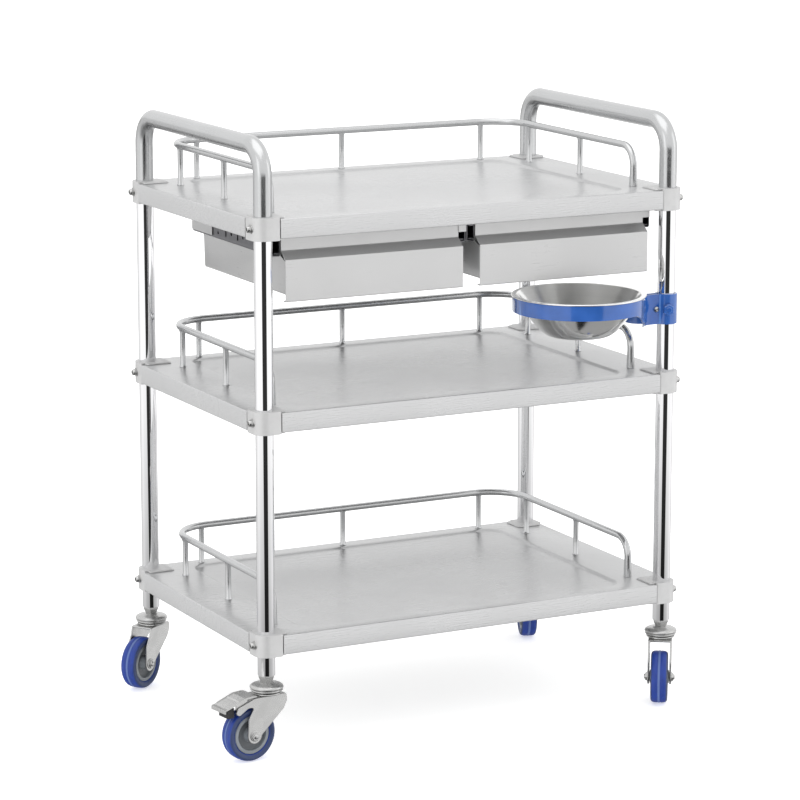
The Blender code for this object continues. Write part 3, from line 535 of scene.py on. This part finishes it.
def build_shelves():
    """Skirt and return flange with true bend radii, and a tray with a soft pressed step."""
    bend, depth, slope = 0.0016, 0.003, 0.008
    for level in LEVELS:
        low, high, middle = bounds_of(f"shelf_{level}")
        half_x, half_y = (high.x - low.x) / 2, (high.y - low.y) / 2
        drop = high.z - low.z
        bm = bmesh.new()

        def ring(points, z):
            return [bm.verts.new((x, y, z)) for x, y in points]

        rings = [ring(shelf_outline(half_x, half_y, 0.010), -drop)]
        for k in range(4):
            a = math.pi / 2 * k / 3
            outline = shelf_outline(half_x, half_y, bend * (1 - math.sin(a)))
            rings.append(ring(outline, -drop + bend * (1 - math.cos(a))))
        for k in range(4):
            a = math.pi / 2 * k / 3
            outline = shelf_outline(half_x, half_y, bend * (1 - math.cos(a)))
            rings.append(ring(outline, -bend * (1 - math.sin(a))))
        bridge(bm, rings)
        border = rings[-1]
        tray_x, tray_y, corner = 0.257, 0.193, 0.028
        steps = []
        for k in range(9):
            t = k / 8
            fall = t * t * (3 - 2 * t)
            inset = slope * t
            points = rounded_box_outline(tray_x - inset, tray_y - inset, corner - inset, 10)
            steps.append(ring(points, -depth * fall))
        bridge(bm, steps[::-1])
        floor = bm.faces.new(steps[-1])
        edges = [e for e in bm.edges if len(e.link_faces) == 1
                 and (all(v in border for v in e.verts) or all(v in steps[0] for v in e.verts))]
        bmesh.ops.triangle_fill(bm, edges=edges, use_beauty=True)
        bmesh.ops.recalc_face_normals(bm, faces=bm.faces)
        floor.normal_update()
        if floor.normal.z < 0:
            bmesh.ops.reverse_faces(bm, faces=bm.faces)
        piece(f"shelf_pan_{level}", bm, "shelf_sheet", "cart_frame", [f"shelf_{level}"],
              Matrix.Translation((middle.x, middle.y, high.z)), sheet=SHEET, smooth=40, outward=False)


def ease(reach):
    """1 at the lip's far edge, 0 by the sleeve."""
    return min(max(reach / LIP, 0), 1)


def build_clamps():
    """Sleeve with rounded edges, a lip on the sheet, and a domed socket bolt."""
    for level in LEVELS:
        for corner, (sx, sy) in CORNERS.items():
            node = f"clamp_{level}_{corner}"
            low, high, _ = bounds_of(node)
            half = (high.z - low.z) / 2
            radius = 0.0176
            plan = fillet([(radius, -radius), (radius, radius), (-radius, radius), (-radius, -radius)],
                          [0.002, 0.001, 0.002, radius * 0.98], 12, closed=True)
            bm = bmesh.new()
            prism(bm, plan, -half, half)
            lip = fillet([(LIP, -0.012), (LIP, LIP), (-0.012, LIP), (-0.012, -0.006), (-0.006, -0.012)],
                         [0.003, 0.004, 0.003, 0, 0], 4, closed=True)
            for sign in (-1, 1):
                foot = [bm.verts.new((p.x, p.y, sign * (half - 0.0017))) for p in lip]
                edge = [bm.verts.new((p.x, p.y, sign * (half - 0.0014))) for p in lip]
                crown = []
                for p in lip:
                    x, y = p.x - 0.0016 * ease(p.x), p.y - 0.0016 * ease(p.y)
                    crown.append(bm.verts.new((x, y, sign * (half - 0.00001))))
                bridge(bm, [foot, edge, crown])
                bm.faces.new(foot)
                bm.faces.new(crown)
            flip = Matrix.Diagonal((-sx, -sy, 1, 1))
            bmesh.ops.transform(bm, matrix=flip, verts=bm.verts)
            place = Matrix.Translation((LEG[corner].x, LEG[corner].y, LEVEL[level]))
            piece(f"sleeve_{level}_{corner}", bm, "clamp_casting", "cart_frame", [node], place,
                  bevel=0.0009, segments=3)
            bolt = bmesh.new()
            lathe(bolt, [(0.0022, 0.0030), (0.0022, 0.0062), (0.0030, 0.0066), (0.0041, 0.0056),
                         (0.0047, 0.0036), (0.0047, 0.0012), (0.0060, 0.0011), (0.0062, 0.0002),
                         (0.0062, -0.0020), (0, -0.0020)], 24)
            lathe(bolt, [(0, 0.0030), (0.0022, 0.0030)], 24)
            turn = Matrix.Rotation(sx * math.pi / 2, 4, "Y")
            seat = Matrix.Translation((LEG[corner].x + sx * radius, LEG[corner].y, LEVEL[level]))
            piece(f"bolt_{level}_{corner}", bolt, "plated_steel", "cart_frame", matrix=seat @ turn)


# ---------------------------------------------------------------- drawers

def build_drawer(side):
    body = f"drawer_{side}"
    low, high, middle = bounds_of(f"drawer_{side}_box")
    flow, fhigh, _ = bounds_of(f"drawer_{side}_front")
    wall_top = high.z - 0.022
    # folded box: outer faces with rounded bottom bends, rails of the side walls standing higher
    bm = bmesh.new()
    x0, x1, y0, y1, z0 = low.x, high.x, low.y, high.y, low.z
    strip = flow.y + 0.0160
    verts = {}

    def v(x, y, z):
        key = (round(x, 6), round(y, 6), round(z, 6))
        if key not in verts:
            verts[key] = bm.verts.new((x, y, z))
        return verts[key]

    nose_top = fhigh.z - 0.0290
    for x in (x0, x1):
        bm.faces.new([v(x, y0, z0), v(x, y1, z0), v(x, y1, wall_top), v(x, y1, high.z), v(x, strip, high.z),
                      v(x, strip, nose_top + 0.006), v(x, y0, nose_top)])
    bm.faces.new([v(x0, y0, z0), v(x1, y0, z0), v(x1, y1, z0), v(x0, y1, z0)])
    bm.faces.new([v(x0, y1, z0), v(x1, y1, z0), v(x1, y1, wall_top), v(x0, y1, wall_top)])
    bm.faces.new([v(x0, y0, z0), v(x0, y0, nose_top), v(x1, y0, nose_top), v(x1, y0, z0)])
    bends = [e for e in bm.edges if len(e.link_faces) == 2]
    bmesh.ops.bevel(bm, geom=bends, offset=0.0032, segments=4, profile=0.5, affect="EDGES",
                    clamp_overlap=True)
    bmesh.ops.recalc_face_normals(bm, faces=bm.faces)
    base = min(bm.faces, key=lambda f: f.calc_center_median().z)
    base.normal_update()
    if base.normal.z > 0:
        bmesh.ops.reverse_faces(bm, faces=bm.faces)
    piece(f"drawer_pan_{side}", bm, "drawer_sheet", body, [f"drawer_{side}_box"], sheet=SHEET, outward=False)
    # rolled hem on the back's top edge
    hems = bmesh.new()
    sweep(hems, [(x0 + 0.004, y1 - 0.0008, wall_top), (x1 - 0.004, y1 - 0.0008, wall_top)], 0.0009, 10)
    piece(f"drawer_hem_{side}", hems, "drawer_sheet", body)
    # front: hem, face, bend, slanted recess, set-back strip with its wider end
    reach = fhigh.x - middle.x - (high.x - middle.x)
    face = flow.y
    strip_y = face + 0.0143
    section = [(face + 0.0078, flow.z), (face, flow.z), (face, flow.z + 0.0566), (strip_y, flow.z + 0.0676),
               (strip_y, fhigh.z)]
    rounded = fillet(section, [0, 0.0016, 0.0022, 0.0030, 0], 6)
    bm = bmesh.new()
    ribbon(bm, rounded, [x0] * len(rounded), [x1] * len(rounded))
    step = [(strip_y, fhigh.z - 0.0090), (strip_y, fhigh.z)]
    ribbon(bm, step, [x1] * 2, [x1 + reach] * 2)
    bmesh.ops.recalc_face_normals(bm, faces=bm.faces)
    big = max(bm.faces, key=lambda f: f.calc_area())
    big.normal_update()
    if big.normal.y > 0:
        bmesh.ops.reverse_faces(bm, faces=bm.faces)
    piece(f"drawer_face_{side}", bm, "drawer_front_sheet", body, [f"drawer_{side}_front"], sheet=0.0014,
          outward=False, smooth=30)


def channel_section(web, rim, half_height, sheet):
    """The centre line of a channel in (x, z), with rounded bends."""
    mid_web = web + math.copysign(sheet / 2, rim - web)
    h = half_height - sheet / 2
    return fillet([(rim, -h), (mid_web, -h), (mid_web, h), (rim, h)], 0.0018, 5)


def build_slide(side, end, ex):
    """Outer channel punched with holes and slots, inner channel, and the balls between them."""
    fixed, moving = f"slide_{side}_{end}_fixed", f"slide_{side}_{end}_moving"
    low, high, middle = bounds_of(fixed)
    mlow, mhigh, _ = bounds_of(moving)
    web, rim = (low.x, high.x) if ex < 0 else (high.x, low.x)
    z, half = middle.z, (high.z - low.z) / 2
    sheet = 0.0012
    bm = bmesh.new()
    section = channel_section(web, rim, half, sheet)
    rows = [[bm.verts.new((x, y, z + h)) for x, h in section] for y in (low.y, high.y)]
    for a, b, c, d in zip(rows[0], rows[0][1:], rows[1][1:], rows[1]):
        bm.faces.new((a, b, c, d))
    channel = piece(f"slide_outer_{side}_{end}", bm, "slide_steel", "cart_frame", [fixed], sheet=sheet,
                    offset=0, outward=False, smooth=30)
    cutter = bmesh.new()
    turn = Matrix.Rotation(math.pi / 2, 4, "Y")
    holes = [(-0.010, 0.004, 0.0022), (-0.010, -0.004, 0.0022), (-0.054, 0, 0.0026), (0.050, 0, 0.0026),
             (-0.092, 0, 0.0022), (-0.128, 0, 0.0026), (0.026, 0, 0.0020)]
    for y, rise, radius in holes:
        lathe(cutter, [(0, 0.004), (radius, 0.004), (radius, -0.004), (0, -0.004)], 20,
              matrix=Matrix.Translation((web, CENTRE.y + y, z + rise)) @ turn)
    for y in (-0.036, -0.160, -0.075):
        block(cutter, (web - 0.004, CENTRE.y + y - 0.002, z - 0.006),
              (web + 0.004, CENTRE.y + y + 0.002, z + 0.006))
    bmesh.ops.recalc_face_normals(cutter, faces=cutter.faces)
    mesh = bpy.data.meshes.new("punches")
    cutter.to_mesh(mesh)
    cutter.free()
    tool = bpy.data.objects.new("punches", mesh)
    bpy.context.scene.collection.objects.link(tool)
    cut = channel.modifiers.new("punched", "BOOLEAN")
    cut.operation = "DIFFERENCE"
    cut.object = tool
    keep_shape(channel)
    bpy.data.objects.remove(tool, do_unlink=True)

    bm = bmesh.new()
    web, rim = (mhigh.x, mlow.x) if ex < 0 else (mlow.x, mhigh.x)
    section = channel_section(web, rim, (mhigh.z - mlow.z) / 2, 0.001)
    rows = [[bm.verts.new((x, y, z + h)) for x, h in section] for y in (mlow.y, mhigh.y)]
    for a, b, c, d in zip(rows[0], rows[0][1:], rows[1][1:], rows[1]):
        bm.faces.new((a, b, c, d))
    piece(f"slide_inner_{side}_{end}", bm, "slide_steel", f"drawer_{side}", [moving], sheet=0.001, offset=0,
          outward=False, smooth=30)
    balls = bmesh.new()
    for sign in (-1, 1):
        for k in range(14):
            height = z + sign * (half - 0.0023)
            place = Matrix.Translation(((web + rim) / 2, mlow.y + 0.030 + k * 0.0145, height))
            bmesh.ops.create_icosphere(balls, subdivisions=2, radius=0.0011, matrix=place)
    piece(f"slide_balls_{side}_{end}", balls, "plated_steel", "cart_frame")


# ---------------------------------------------------------------- basin set

def ring_path(reach, radius, collar, neck_half, neck_start):
    """The strip's centre line: round the bowl, in at the neck and round the leg."""
    leave = math.radians(28)
    ring = []
    for k in range(65):
        a = math.pi + (leave - math.pi) * k / 64
        ring.append(Vector((-reach + radius * math.cos(a), radius * math.sin(a))))
    start, end, pull = ring[-1], Vector((neck_start, neck_half)), 0.022
    first = start + Vector((math.sin(leave), -math.cos(leave))) * pull
    second = end - Vector((pull, 0))
    blend = []
    for k in range(1, 17):
        t = k / 16
        point = (1 - t) ** 3 * start + 3 * t * (1 - t) ** 2 * first
        blend.append(point + 3 * t * t * (1 - t) * second + t ** 3 * end)
    meet = math.pi - math.asin(neck_half / collar)
    angles = [meet * (1 - k / 28) for k in range(29)]
    loop = [Vector((collar * math.cos(a), collar * math.sin(a))) for a in angles]
    half = ring + blend + loop
    return half + [Vector((p.x, -p.y)) for p in reversed(half[1:-1])]


def build_basin():
    low, high, _ = bounds_of("ring_holder")
    leg = LEG["front_right"]
    strip, collar = 0.003, 0.0144
    radius = (high.y - low.y) / 2 - strip / 2
    reach = leg.x - (low.x + strip / 2 + radius)
    ring_top = bounds_of("basin_bowl")[1].z - 0.0015
    ring_low, ring_high = ring_top - 0.0215, ring_top
    collar_low, collar_high = low.z, low.z + 0.043
    bm = bmesh.new()
    lower, upper = [], []
    for p in ring_path(reach, radius, collar, 0.0045, -0.025):
        share = min(max((p.x + 0.100) / 0.055, 0), 1)
        share = share * share * (3 - 2 * share)
        lower.append(bm.verts.new((p.x, p.y, ring_low + (collar_low - ring_low) * share)))
        upper.append(bm.verts.new((p.x, p.y, ring_high + (collar_high - ring_high) * share)))
    bridge(bm, [lower, upper])
    base = Matrix.Translation((leg.x, leg.y, 0))
    piece("bowl_ring", bm, "blue_enamel", "basin_holder", ["ring_holder"], base, sheet=strip, offset=0,
          bevel=0.0006, segments=3, smooth=50)
    screw = bounds_of("ring_clamp_screw")[2]
    face = 0.0045 + strip / 2
    bm = bmesh.new()
    lathe(bm, [(0, face + 0.0062), (0.0019, face + 0.0062), (0.0024, face + 0.0056), (0.0024, -face - 0.0006),
               (0, -face - 0.0006)], 20)
    turn = Matrix.Rotation(-math.pi / 2, 4, "X")
    bmesh.ops.transform(bm, matrix=turn, verts=bm.verts)
    head = [(0.0008, 0.0008), (0.0008, 0.0030), (0.0026, 0.0029), (0.0038, 0.0020), (0.0043, 0.0004),
            (0.0043, 0), (0, 0)]
    front = Matrix.Translation((0, -face - 0.0001, 0)) @ Matrix.Rotation(math.pi / 2, 4, "X")
    lathe(bm, head, 28, matrix=front)
    prism(bm, hexagon(0.0042), 0, 0.0032, Matrix.Translation((0, face, 0)) @ turn)
    piece("ring_screw", bm, "plated_steel", "basin_holder", ["ring_clamp_screw"],
          Matrix.Translation((screw.x, leg.y, screw.z)), bevel=0.0002)
    # painted hexagonal set screw on the collar's front
    knob = bmesh.new()
    start, end = collar + strip / 2 - 0.0012, collar + strip / 2 + 0.0050
    rings = [[knob.verts.new((x, y, z)) for x, y in hexagon(across)]
             for across, z in ((0.0084, start), (0.0086, end - 0.0014), (0.0070, end))]
    bridge(knob, rings)
    for ring in (rings[0], rings[-1]):
        knob.faces.new(ring)
    lathe(knob, [(0, end + 0.0012), (0.0036, end + 0.0010), (0.0046, end - 0.0004), (0, end - 0.0004)], 20)
    aim = Matrix.Rotation(math.radians(-108), 4, "Z") @ Matrix.Rotation(math.pi / 2, 4, "Y")
    piece("ring_knob", knob, "blue_enamel", "basin_holder",
          matrix=Matrix.Translation((leg.x, leg.y, (collar_low + collar_high) / 2)) @ aim, bevel=0.0005)
    # spun bowl with a beaded rim
    blow, bhigh, bmid = bounds_of("basin_bowl")
    rim, mouth, foot, wall = (bhigh.y - blow.y) / 2, 0.088, 0.040, 0.0010
    bead = 0.0011
    top = bhigh.z - bead * 1.1
    depth = top - blow.z
    outer = []
    for k in range(40):
        share = (k / 39) ** 1.5
        outer.append(Vector((foot + (mouth - foot) * share ** 0.62, blow.z + depth * share)))
    flat = [(0, 0.0006), (foot - 0.010, 0.0006), (foot - 0.006, 0)]
    outer = [Vector((r, blow.z + z)) for r, z in flat] + outer
    inner = [Vector((max(p.x - wall, 0), p.y + wall * 0.8)) for p in outer[3:]]
    flat = [(0, 0.0016), (foot - 0.010, 0.0016), (foot - 0.006, 0.0012)]
    inner = [Vector((r, blow.z + z)) for r, z in flat] + inner
    profile = [(p.x, p.y) for p in inner]
    profile += [(mouth + 0.0008, top + 0.0006), (mouth + 0.0020, top + 0.0010), (rim - 0.0030, top + 0.0010)]
    for k in range(9):
        a = math.pi * (0.55 - 1.25 * k / 8)
        profile.append((rim - bead + bead * math.cos(a), top + bead * 0.1 + bead * math.sin(a)))
    profile += [(rim - 0.0028, top), (mouth + 0.0022, top - 0.0001)]
    profile += [(p.x, p.y) for p in reversed(outer)]
    bm = bmesh.new()
    lathe(bm, profile, 128)
    piece("bowl", bm, "bowl_steel", "basin_bowl", ["basin_bowl"], Matrix.Translation((bmid.x, bmid.y, 0)),
          smooth=50)


# ---------------------------------------------------------------- casters

WHEEL_RADIUS = 0.0375
TRAIL = 0.030
FORK_HALF = 0.017
FORK_SHEET = 0.0025
FORK_TOP = 0.0895
RACE = 0.0233


def fork_outline(braked):
    """Side plate in (x, z), with every corner rounded."""
    eye = 0.0110
    plate = [(TRAIL + eye * math.cos(a), WHEEL_RADIUS + eye * math.sin(a))
             for a in [math.pi * (-0.98 + 1.06 * k / 18) for k in range(19)]]
    radii = [0] * len(plate)
    plate += [(0.0395, 0.062), (0.0300, 0.0775)]
    radii += [0.012, 0.006]
    if braked:
        plate += [(0.0400, 0.0775), (0.0540, 0.0690), (0.0600, 0.0720), (0.0560, 0.0800), (0.0300, FORK_TOP)]
        radii += [0.004, 0.003, 0.003, 0.003, 0.004]
    else:
        plate += [(0.0270, FORK_TOP)]
        radii += [0.003]
    plate += [(-0.0215, FORK_TOP), (-0.0225, 0.0800), (-0.0170, 0.0690)]
    radii += [0.003, 0.004, 0.012]
    return fillet(plate, radii, 5, closed=True)


TO_SIDE = Matrix(((1, 0, 0, 0), (0, 0, 1, 0), (0, 1, 0, 0), (0, 0, 0, 1)))


def build_caster(corner, heading):
    base = Matrix.Translation((LEG[corner].x, LEG[corner].y, 0)) @ Matrix.Rotation(heading, 4, "Z")
    braked = corner == "front_left"
    fork_body, wheel_body = f"fork_{corner}", f"wheel_{corner}"
    # race cover: two rolled tiers, a washer and the tapered hexagon under the tube
    bm = bmesh.new()
    r = RACE
    profile = [(0, 0.1046), (0.0096, 0.1046), (0.0106, 0.1038), (r - 0.0092, 0.1034), (r - 0.0060, 0.1029),
               (r - 0.0030, 0.1020), (r - 0.0010, 0.1007), (r - 0.0002, 0.0994), (r, 0.0984),
               (r - 0.0004, 0.0975),
               (r - 0.0014, 0.0968), (r - 0.0022, 0.0964), (r - 0.0014, 0.0958), (r - 0.0009, 0.0948),
               (r - 0.0014, 0.0938), (r - 0.0030, 0.0932), (0, 0.0930)]
    lathe(bm, profile, 64)
    rings = [[bm.verts.new((x, y, z)) for x, y in hexagon(across)]
             for across, z in ((0.0084, 0.1044), (0.0087, 0.1060), (0.0119, LEG_BOTTOM - 0.0030),
                               (0.0122, LEG_BOTTOM - 0.0003))]
    bridge(bm, rings)
    for ring in (rings[0], rings[-1]):
        bm.faces.new(ring)
    lathe(bm, [(0.0106, LEG_BOTTOM - 0.001), (0.0106, LEG_BOTTOM + 0.028), (0, LEG_BOTTOM + 0.030)], 32)
    piece(f"caster_race_{corner}", bm, "plated_steel", "cart_frame", [f"caster_stem_{corner}"],
          Matrix.Translation((LEG[corner].x, LEG[corner].y, 0)), bevel=0.0003)
    # fork: two pressed side plates, the crown and the lower race
    bm = bmesh.new()
    outline = [(p.x, p.y) for p in fork_outline(braked)]
    inner = FORK_HALF - FORK_SHEET
    for low, high in ((inner, FORK_HALF), (-FORK_HALF, -inner)):
        prism(bm, outline, low, high, TO_SIDE)
    block(bm, (-0.0212, -inner - 0.0010, FORK_TOP - FORK_SHEET), (0.0268, inner + 0.0010, FORK_TOP - 0.00005))
    piece(f"caster_cheeks_{corner}", bm, "plated_steel", fork_body, [f"caster_fork_{corner}"], base,
          bevel=0.0008, segments=3)
    bm = bmesh.new()
    lathe(bm, [(0, 0.0925), (r - 0.0044, 0.0925), (r - 0.0032, 0.0918), (r - 0.0028, 0.0906),
               (r - 0.0036, 0.0896), (r - 0.0064, 0.0890), (0, 0.0890)], 64)
    for side in (-1, 1):
        turn = Matrix.Translation((TRAIL, 0, WHEEL_RADIUS)) @ Matrix.Rotation(-side * math.pi / 2, 4, "X")
        prism(bm, hexagon(0.0061), FORK_HALF - 0.0002, FORK_HALF + 0.0030, turn)
        lathe(bm, [(0, FORK_HALF + 0.0054), (0.0026, FORK_HALF + 0.0052), (0.0036, FORK_HALF + 0.0044),
                   (0.0040, FORK_HALF + 0.0032), (0.0040, FORK_HALF - 0.004), (0, FORK_HALF - 0.004)], 24,
              matrix=turn)
        lathe(bm, [(0.0076, FORK_HALF - 0.0002), (0.0076, FORK_HALF + 0.0006), (0.0070, FORK_HALF + 0.0009),
                   (0, FORK_HALF + 0.0009)], 32, matrix=turn)
        lathe(bm, [(0, inner), (0.0070, inner), (0.0070, inner - 0.0004), (0.0040, inner - 0.0005)], 24,
              matrix=turn)
    lathe(bm, [(0, 0.0150), (0.0038, 0.0150), (0.0038, -0.0150), (0, -0.0150)], 24,
          matrix=Matrix.Translation((TRAIL, 0, WHEEL_RADIUS)) @ Matrix.Rotation(math.pi / 2, 4, "X"))
    piece(f"caster_axle_{corner}", bm, "plated_steel", fork_body, matrix=base, bevel=0.0002)
    # wheel: tread with a moulding line, hub with a recessed web
    wheel = base @ Matrix.Translation((TRAIL, 0, WHEEL_RADIUS)) @ Matrix.Rotation(math.pi / 2, 4, "X")
    w, bore = 0.012, 0.0271
    half = [(bore, w - 0.0030), (bore + 0.0012, w - 0.0016), (bore + 0.0042, w - 0.0006), (0.0328, w),
            (0.0349, w - 0.0008), (0.0364, w - 0.0026), (0.0371, w - 0.0052), (0.03735, 0.0032),
            (0.0370, 0.0027),
            (0.0370, 0.0020), (0.0374, 0.0015), (WHEEL_RADIUS, 0.0006)]
    profile = half + [(x, -z) for x, z in reversed(half)]
    bm = bmesh.new()
    lathe(bm, profile, 96, closed=True)
    piece(f"tread_{corner}", bm, "blue_tread", wheel_body, [f"caster_tyre_{corner}"], wheel, smooth=50)
    hub_half = [(0.0044, 0.0138), (0.0088, 0.0138), (0.0094, 0.0132), (0.0098, 0.0062), (0.0108, 0.0050),
                (0.0196, 0.0050), (0.0208, 0.0058), (0.0216, 0.0086), (0.0222, 0.0098), (0.0262, 0.0098),
                (0.0269, 0.0090)]
    profile = hub_half + [(x, -z) for x, z in reversed(hub_half)]
    bm = bmesh.new()
    lathe(bm, profile, 72, closed=True)
    piece(f"hub_{corner}", bm, "grey_plastic", wheel_body, [f"caster_hub_{corner}"], wheel, smooth=40)
    if braked:
        build_pedal(base)


def build_pedal(base):
    """Bent plate with turned-up rims, a cross rib and a serrated, turned-down tip."""
    half, sheet = 0.0172, 0.0016
    bends = [(0.0268, 0.0934), (0.0440, 0.0924), (0.0742, 0.0817), (0.0778, 0.0810), (0.0779, 0.0760)]
    section = fillet(bends, [0, 0.006, 0.003, 0.0012, 0], 5)
    lower = [(p.x, p.y) for p in section]
    upper = []
    count = len(section)
    for i, p in enumerate(section):
        tangent = (section[min(i + 1, count - 1)] - section[max(i - 1, 0)]).normalized()
        upper.append(p - Vector((-tangent.y, tangent.x)) * sheet)
    bm = bmesh.new()
    prism(bm, lower + [(p.x, p.y) for p in reversed(upper)], -half, half, TO_SIDE)
    inner = FORK_HALF - FORK_SHEET - 0.0005
    cheek = fillet([(0.0400, 0.0916), (0.0580, 0.0862), (0.0580, 0.0740), (0.0510, 0.0740), (0.0400, 0.0800)],
                   [0, 0, 0.003, 0.003, 0.003], 4, closed=True)
    for low, high in ((inner - 0.0015, inner), (-inner, -inner + 0.0015)):
        prism(bm, [(p.x, p.y) for p in cheek], low, high, TO_SIDE)
    for low, high in ((half - 0.0014, half + 0.0001), (-half - 0.0001, -half + 0.0014)):
        prism(bm, [(0.0300, 0.0925), (0.0440, 0.0918), (0.0700, 0.0826), (0.0700, 0.0838), (0.0442, 0.0932),
                   (0.0300, 0.0938)], low, high, TO_SIDE)
    rib = [(0.0520, 0.0893), (0.0535, 0.0900), (0.0550, 0.0885), (0.0550, 0.0870), (0.0520, 0.0880)]
    prism(bm, rib, -half + 0.002, half - 0.002, TO_SIDE)
    teeth = 7
    for k in range(teeth):
        y = -half + 0.0026 + k * (2 * half - 0.0052) / (teeth - 1)
        block(bm, (0.0700, y - 0.0009, 0.0812), (0.0779, y + 0.0009, 0.0820))
    piece("pedal_plate", bm, "plated_steel", "brake_pedal", ["brake_pedal"], base, bevel=0.0003)
    bm = bmesh.new()
    low, high = Vector((0.0592, -0.0108, 0.0667)), Vector((0.0698, 0.0108, 0.0803))
    block(bm, low, high)
    for k in range(5):
        y = -0.0084 + k * 0.0042
        block(bm, (0.0590, y - 0.0008, 0.0680), (0.0596, y + 0.0008, 0.0790))
    piece("pedal_pad", bm, "black_rubber", "brake_pedal", ["brake_pad"], base, bevel=0.0008, segments=3)


# ---------------------------------------------------------------- build

build_legs()
build_handles()
build_rails()
build_shelves()
build_clamps()
for side, sx in SIDES.items():
    build_drawer(side)
    build_slide(side, "outer", sx)
    build_slide(side, "inner", -sx)
build_basin()
for joint in frame["joints"]:
    if joint["name"].startswith("wheel_spin_"):
        build_caster(joint["name"][len("wheel_spin_"):], math.atan2(-joint["axis"][0], joint["axis"][1]))
for name, node in frame["nodes"].items():
    if name.startswith("hanger_"):
        node.data.materials.clear()
        node.data.materials.append(MAT["hanger_sheet"])


# ---------------------------------------------------------------- camera, floor and light

YAW, PITCH = 0.4736, 0.2015
SPAN = 0.625
camera_data = bpy.data.cameras.new("camera")
camera_data.lens = 149.33
camera_data.sensor_width = 36
camera_data.clip_end = 60
camera = bpy.data.objects.new("camera", camera_data)
bpy.context.scene.collection.objects.link(camera)
camera.location = (CENTRE.x - 3.4047 * SPAN, CENTRE.y - 6.6224 * SPAN, LEG_BOTTOM + 2.0238 * SPAN)
look = Vector((math.sin(YAW) * math.cos(PITCH), math.cos(YAW) * math.cos(PITCH), -math.sin(PITCH)))
camera.rotation_euler = look.to_track_quat("-Z", "Y").to_euler()
bpy.context.scene.camera = camera


def build_floor():
    """A pale floor that glows a little, so that it stays as white as a lit paper sweep."""
    m = Nodes("pale_floor", (0.90, 0.90, 0.90), 0.0, 0.7)
    soft = m.noise(3, 2)
    tone = m.blend(m.spread(soft, 0, 1), (0.895, 0.895, 0.895), (0.905, 0.905, 0.905))
    m.link(tone, m.shader.inputs["Base Color"])
    m.shader.inputs["Emission Color"].default_value = (1, 1, 1, 1)
    m.shader.inputs["Emission Strength"].default_value = 0.50
    bm = bmesh.new()
    bmesh.ops.create_grid(bm, x_segments=1, y_segments=1, size=40)
    mesh = bpy.data.meshes.new("floor")
    bm.to_mesh(mesh)
    bm.free()
    mesh.materials.append(m.material)
    floor = bpy.data.objects.new("floor", mesh)
    bpy.context.scene.collection.objects.link(floor)
    floor.location.z = -0.0005
    floor.visible_glossy = False


def area_light(name, place, target, size, power):
    data = bpy.data.lights.new(name, "AREA")
    data.shape = "RECTANGLE"
    data.size, data.size_y = size
    data.energy = power
    light = bpy.data.objects.new(name, data)
    bpy.context.scene.collection.objects.link(light)
    light.location = place
    light.rotation_euler = (Vector(target) - Vector(place)).to_track_quat("-Z", "Y").to_euler()
    return light


def build_world():
    """A white room, dimmer below, with dark upright bands under the horizon like cards round a light tent."""
    world = bpy.data.worlds.new("room")
    bpy.context.scene.world = world
    world.use_nodes = True
    tree = world.node_tree
    background = tree.nodes["Background"]
    coordinates = tree.nodes.new("ShaderNodeTexCoord")
    split = tree.nodes.new("ShaderNodeSeparateXYZ")
    tree.links.new(coordinates.outputs["Generated"], split.inputs[0])

    def maths(operation, *values):
        node = tree.nodes.new("ShaderNodeMath")
        node.operation = operation
        for socket, value in zip(node.inputs, values):
            if isinstance(value, (int, float)):
                socket.default_value = value
            else:
                tree.links.new(value, socket)
        return node.outputs[0]

    def ramp(value, start, end, low, high):
        node = tree.nodes.new("ShaderNodeMapRange")
        node.interpolation_type = "SMOOTHSTEP"
        for key, number in (("From Min", start), ("From Max", end), ("To Min", low), ("To Max", high)):
            node.inputs[key].default_value = number
        tree.links.new(value, node.inputs["Value"])
        return node.outputs["Result"]

    azimuth = maths("ARCTAN2", split.outputs[0], split.outputs[1])
    height = split.outputs[2]

    def band(centre, half, soft, depth):
        """Brightness of the room with one upright band in it: 1 outside the band, 1 - depth inside."""
        turned = maths("SUBTRACT", azimuth, math.radians(centre))
        away = maths("ABSOLUTE", maths("WRAP", turned, math.pi, -math.pi))
        inside = ramp(away, math.radians(half - soft), math.radians(half + soft), 1, 0)
        below = ramp(height, -0.04, 0.06, 1, 0)
        return maths("SUBTRACT", 1.0, maths("MULTIPLY", maths("MULTIPLY", inside, below), depth))

    light = ramp(height, -0.75, -0.28, 0.30, 1.0)
    for centre, half, soft, depth in ((FACING - 12, 28, 1.5, 0.97), (FACING + 143, 6, 2, 0.85),
                                      (FACING - 143, 6, 2, 0.85), (FACING + 118, 16, 14, 0.25)):
        light = maths("MULTIPLY", light, band(centre, half, soft, depth))
    tree.links.new(maths("MULTIPLY", light, ROOM_LIGHT), background.inputs["Strength"])
    background.inputs["Color"].default_value = (1, 1, 1, 1)


FACING = 180 + math.degrees(YAW)  # the way from the cart to the camera, from +Y towards +X
ROOM_LIGHT = 1.10
bpy.context.scene.view_settings.view_transform = "Standard"
build_floor()
build_world()
area_light("overhead", (CENTRE.x - 0.4, CENTRE.y - 0.2, 3.0), (CENTRE.x, CENTRE.y, 0.4), (2.6, 2.6), 14)
area_light("left_soft", (CENTRE.x - 3.2, CENTRE.y - 1.2, 1.6), (CENTRE.x, CENTRE.y, 0.5), (1.4, 2.4), 6)
area_light("right_soft", (CENTRE.x + 3.0, CENTRE.y - 1.8, 1.5), (CENTRE.x, CENTRE.y, 0.5), (1.4, 2.4), 6)
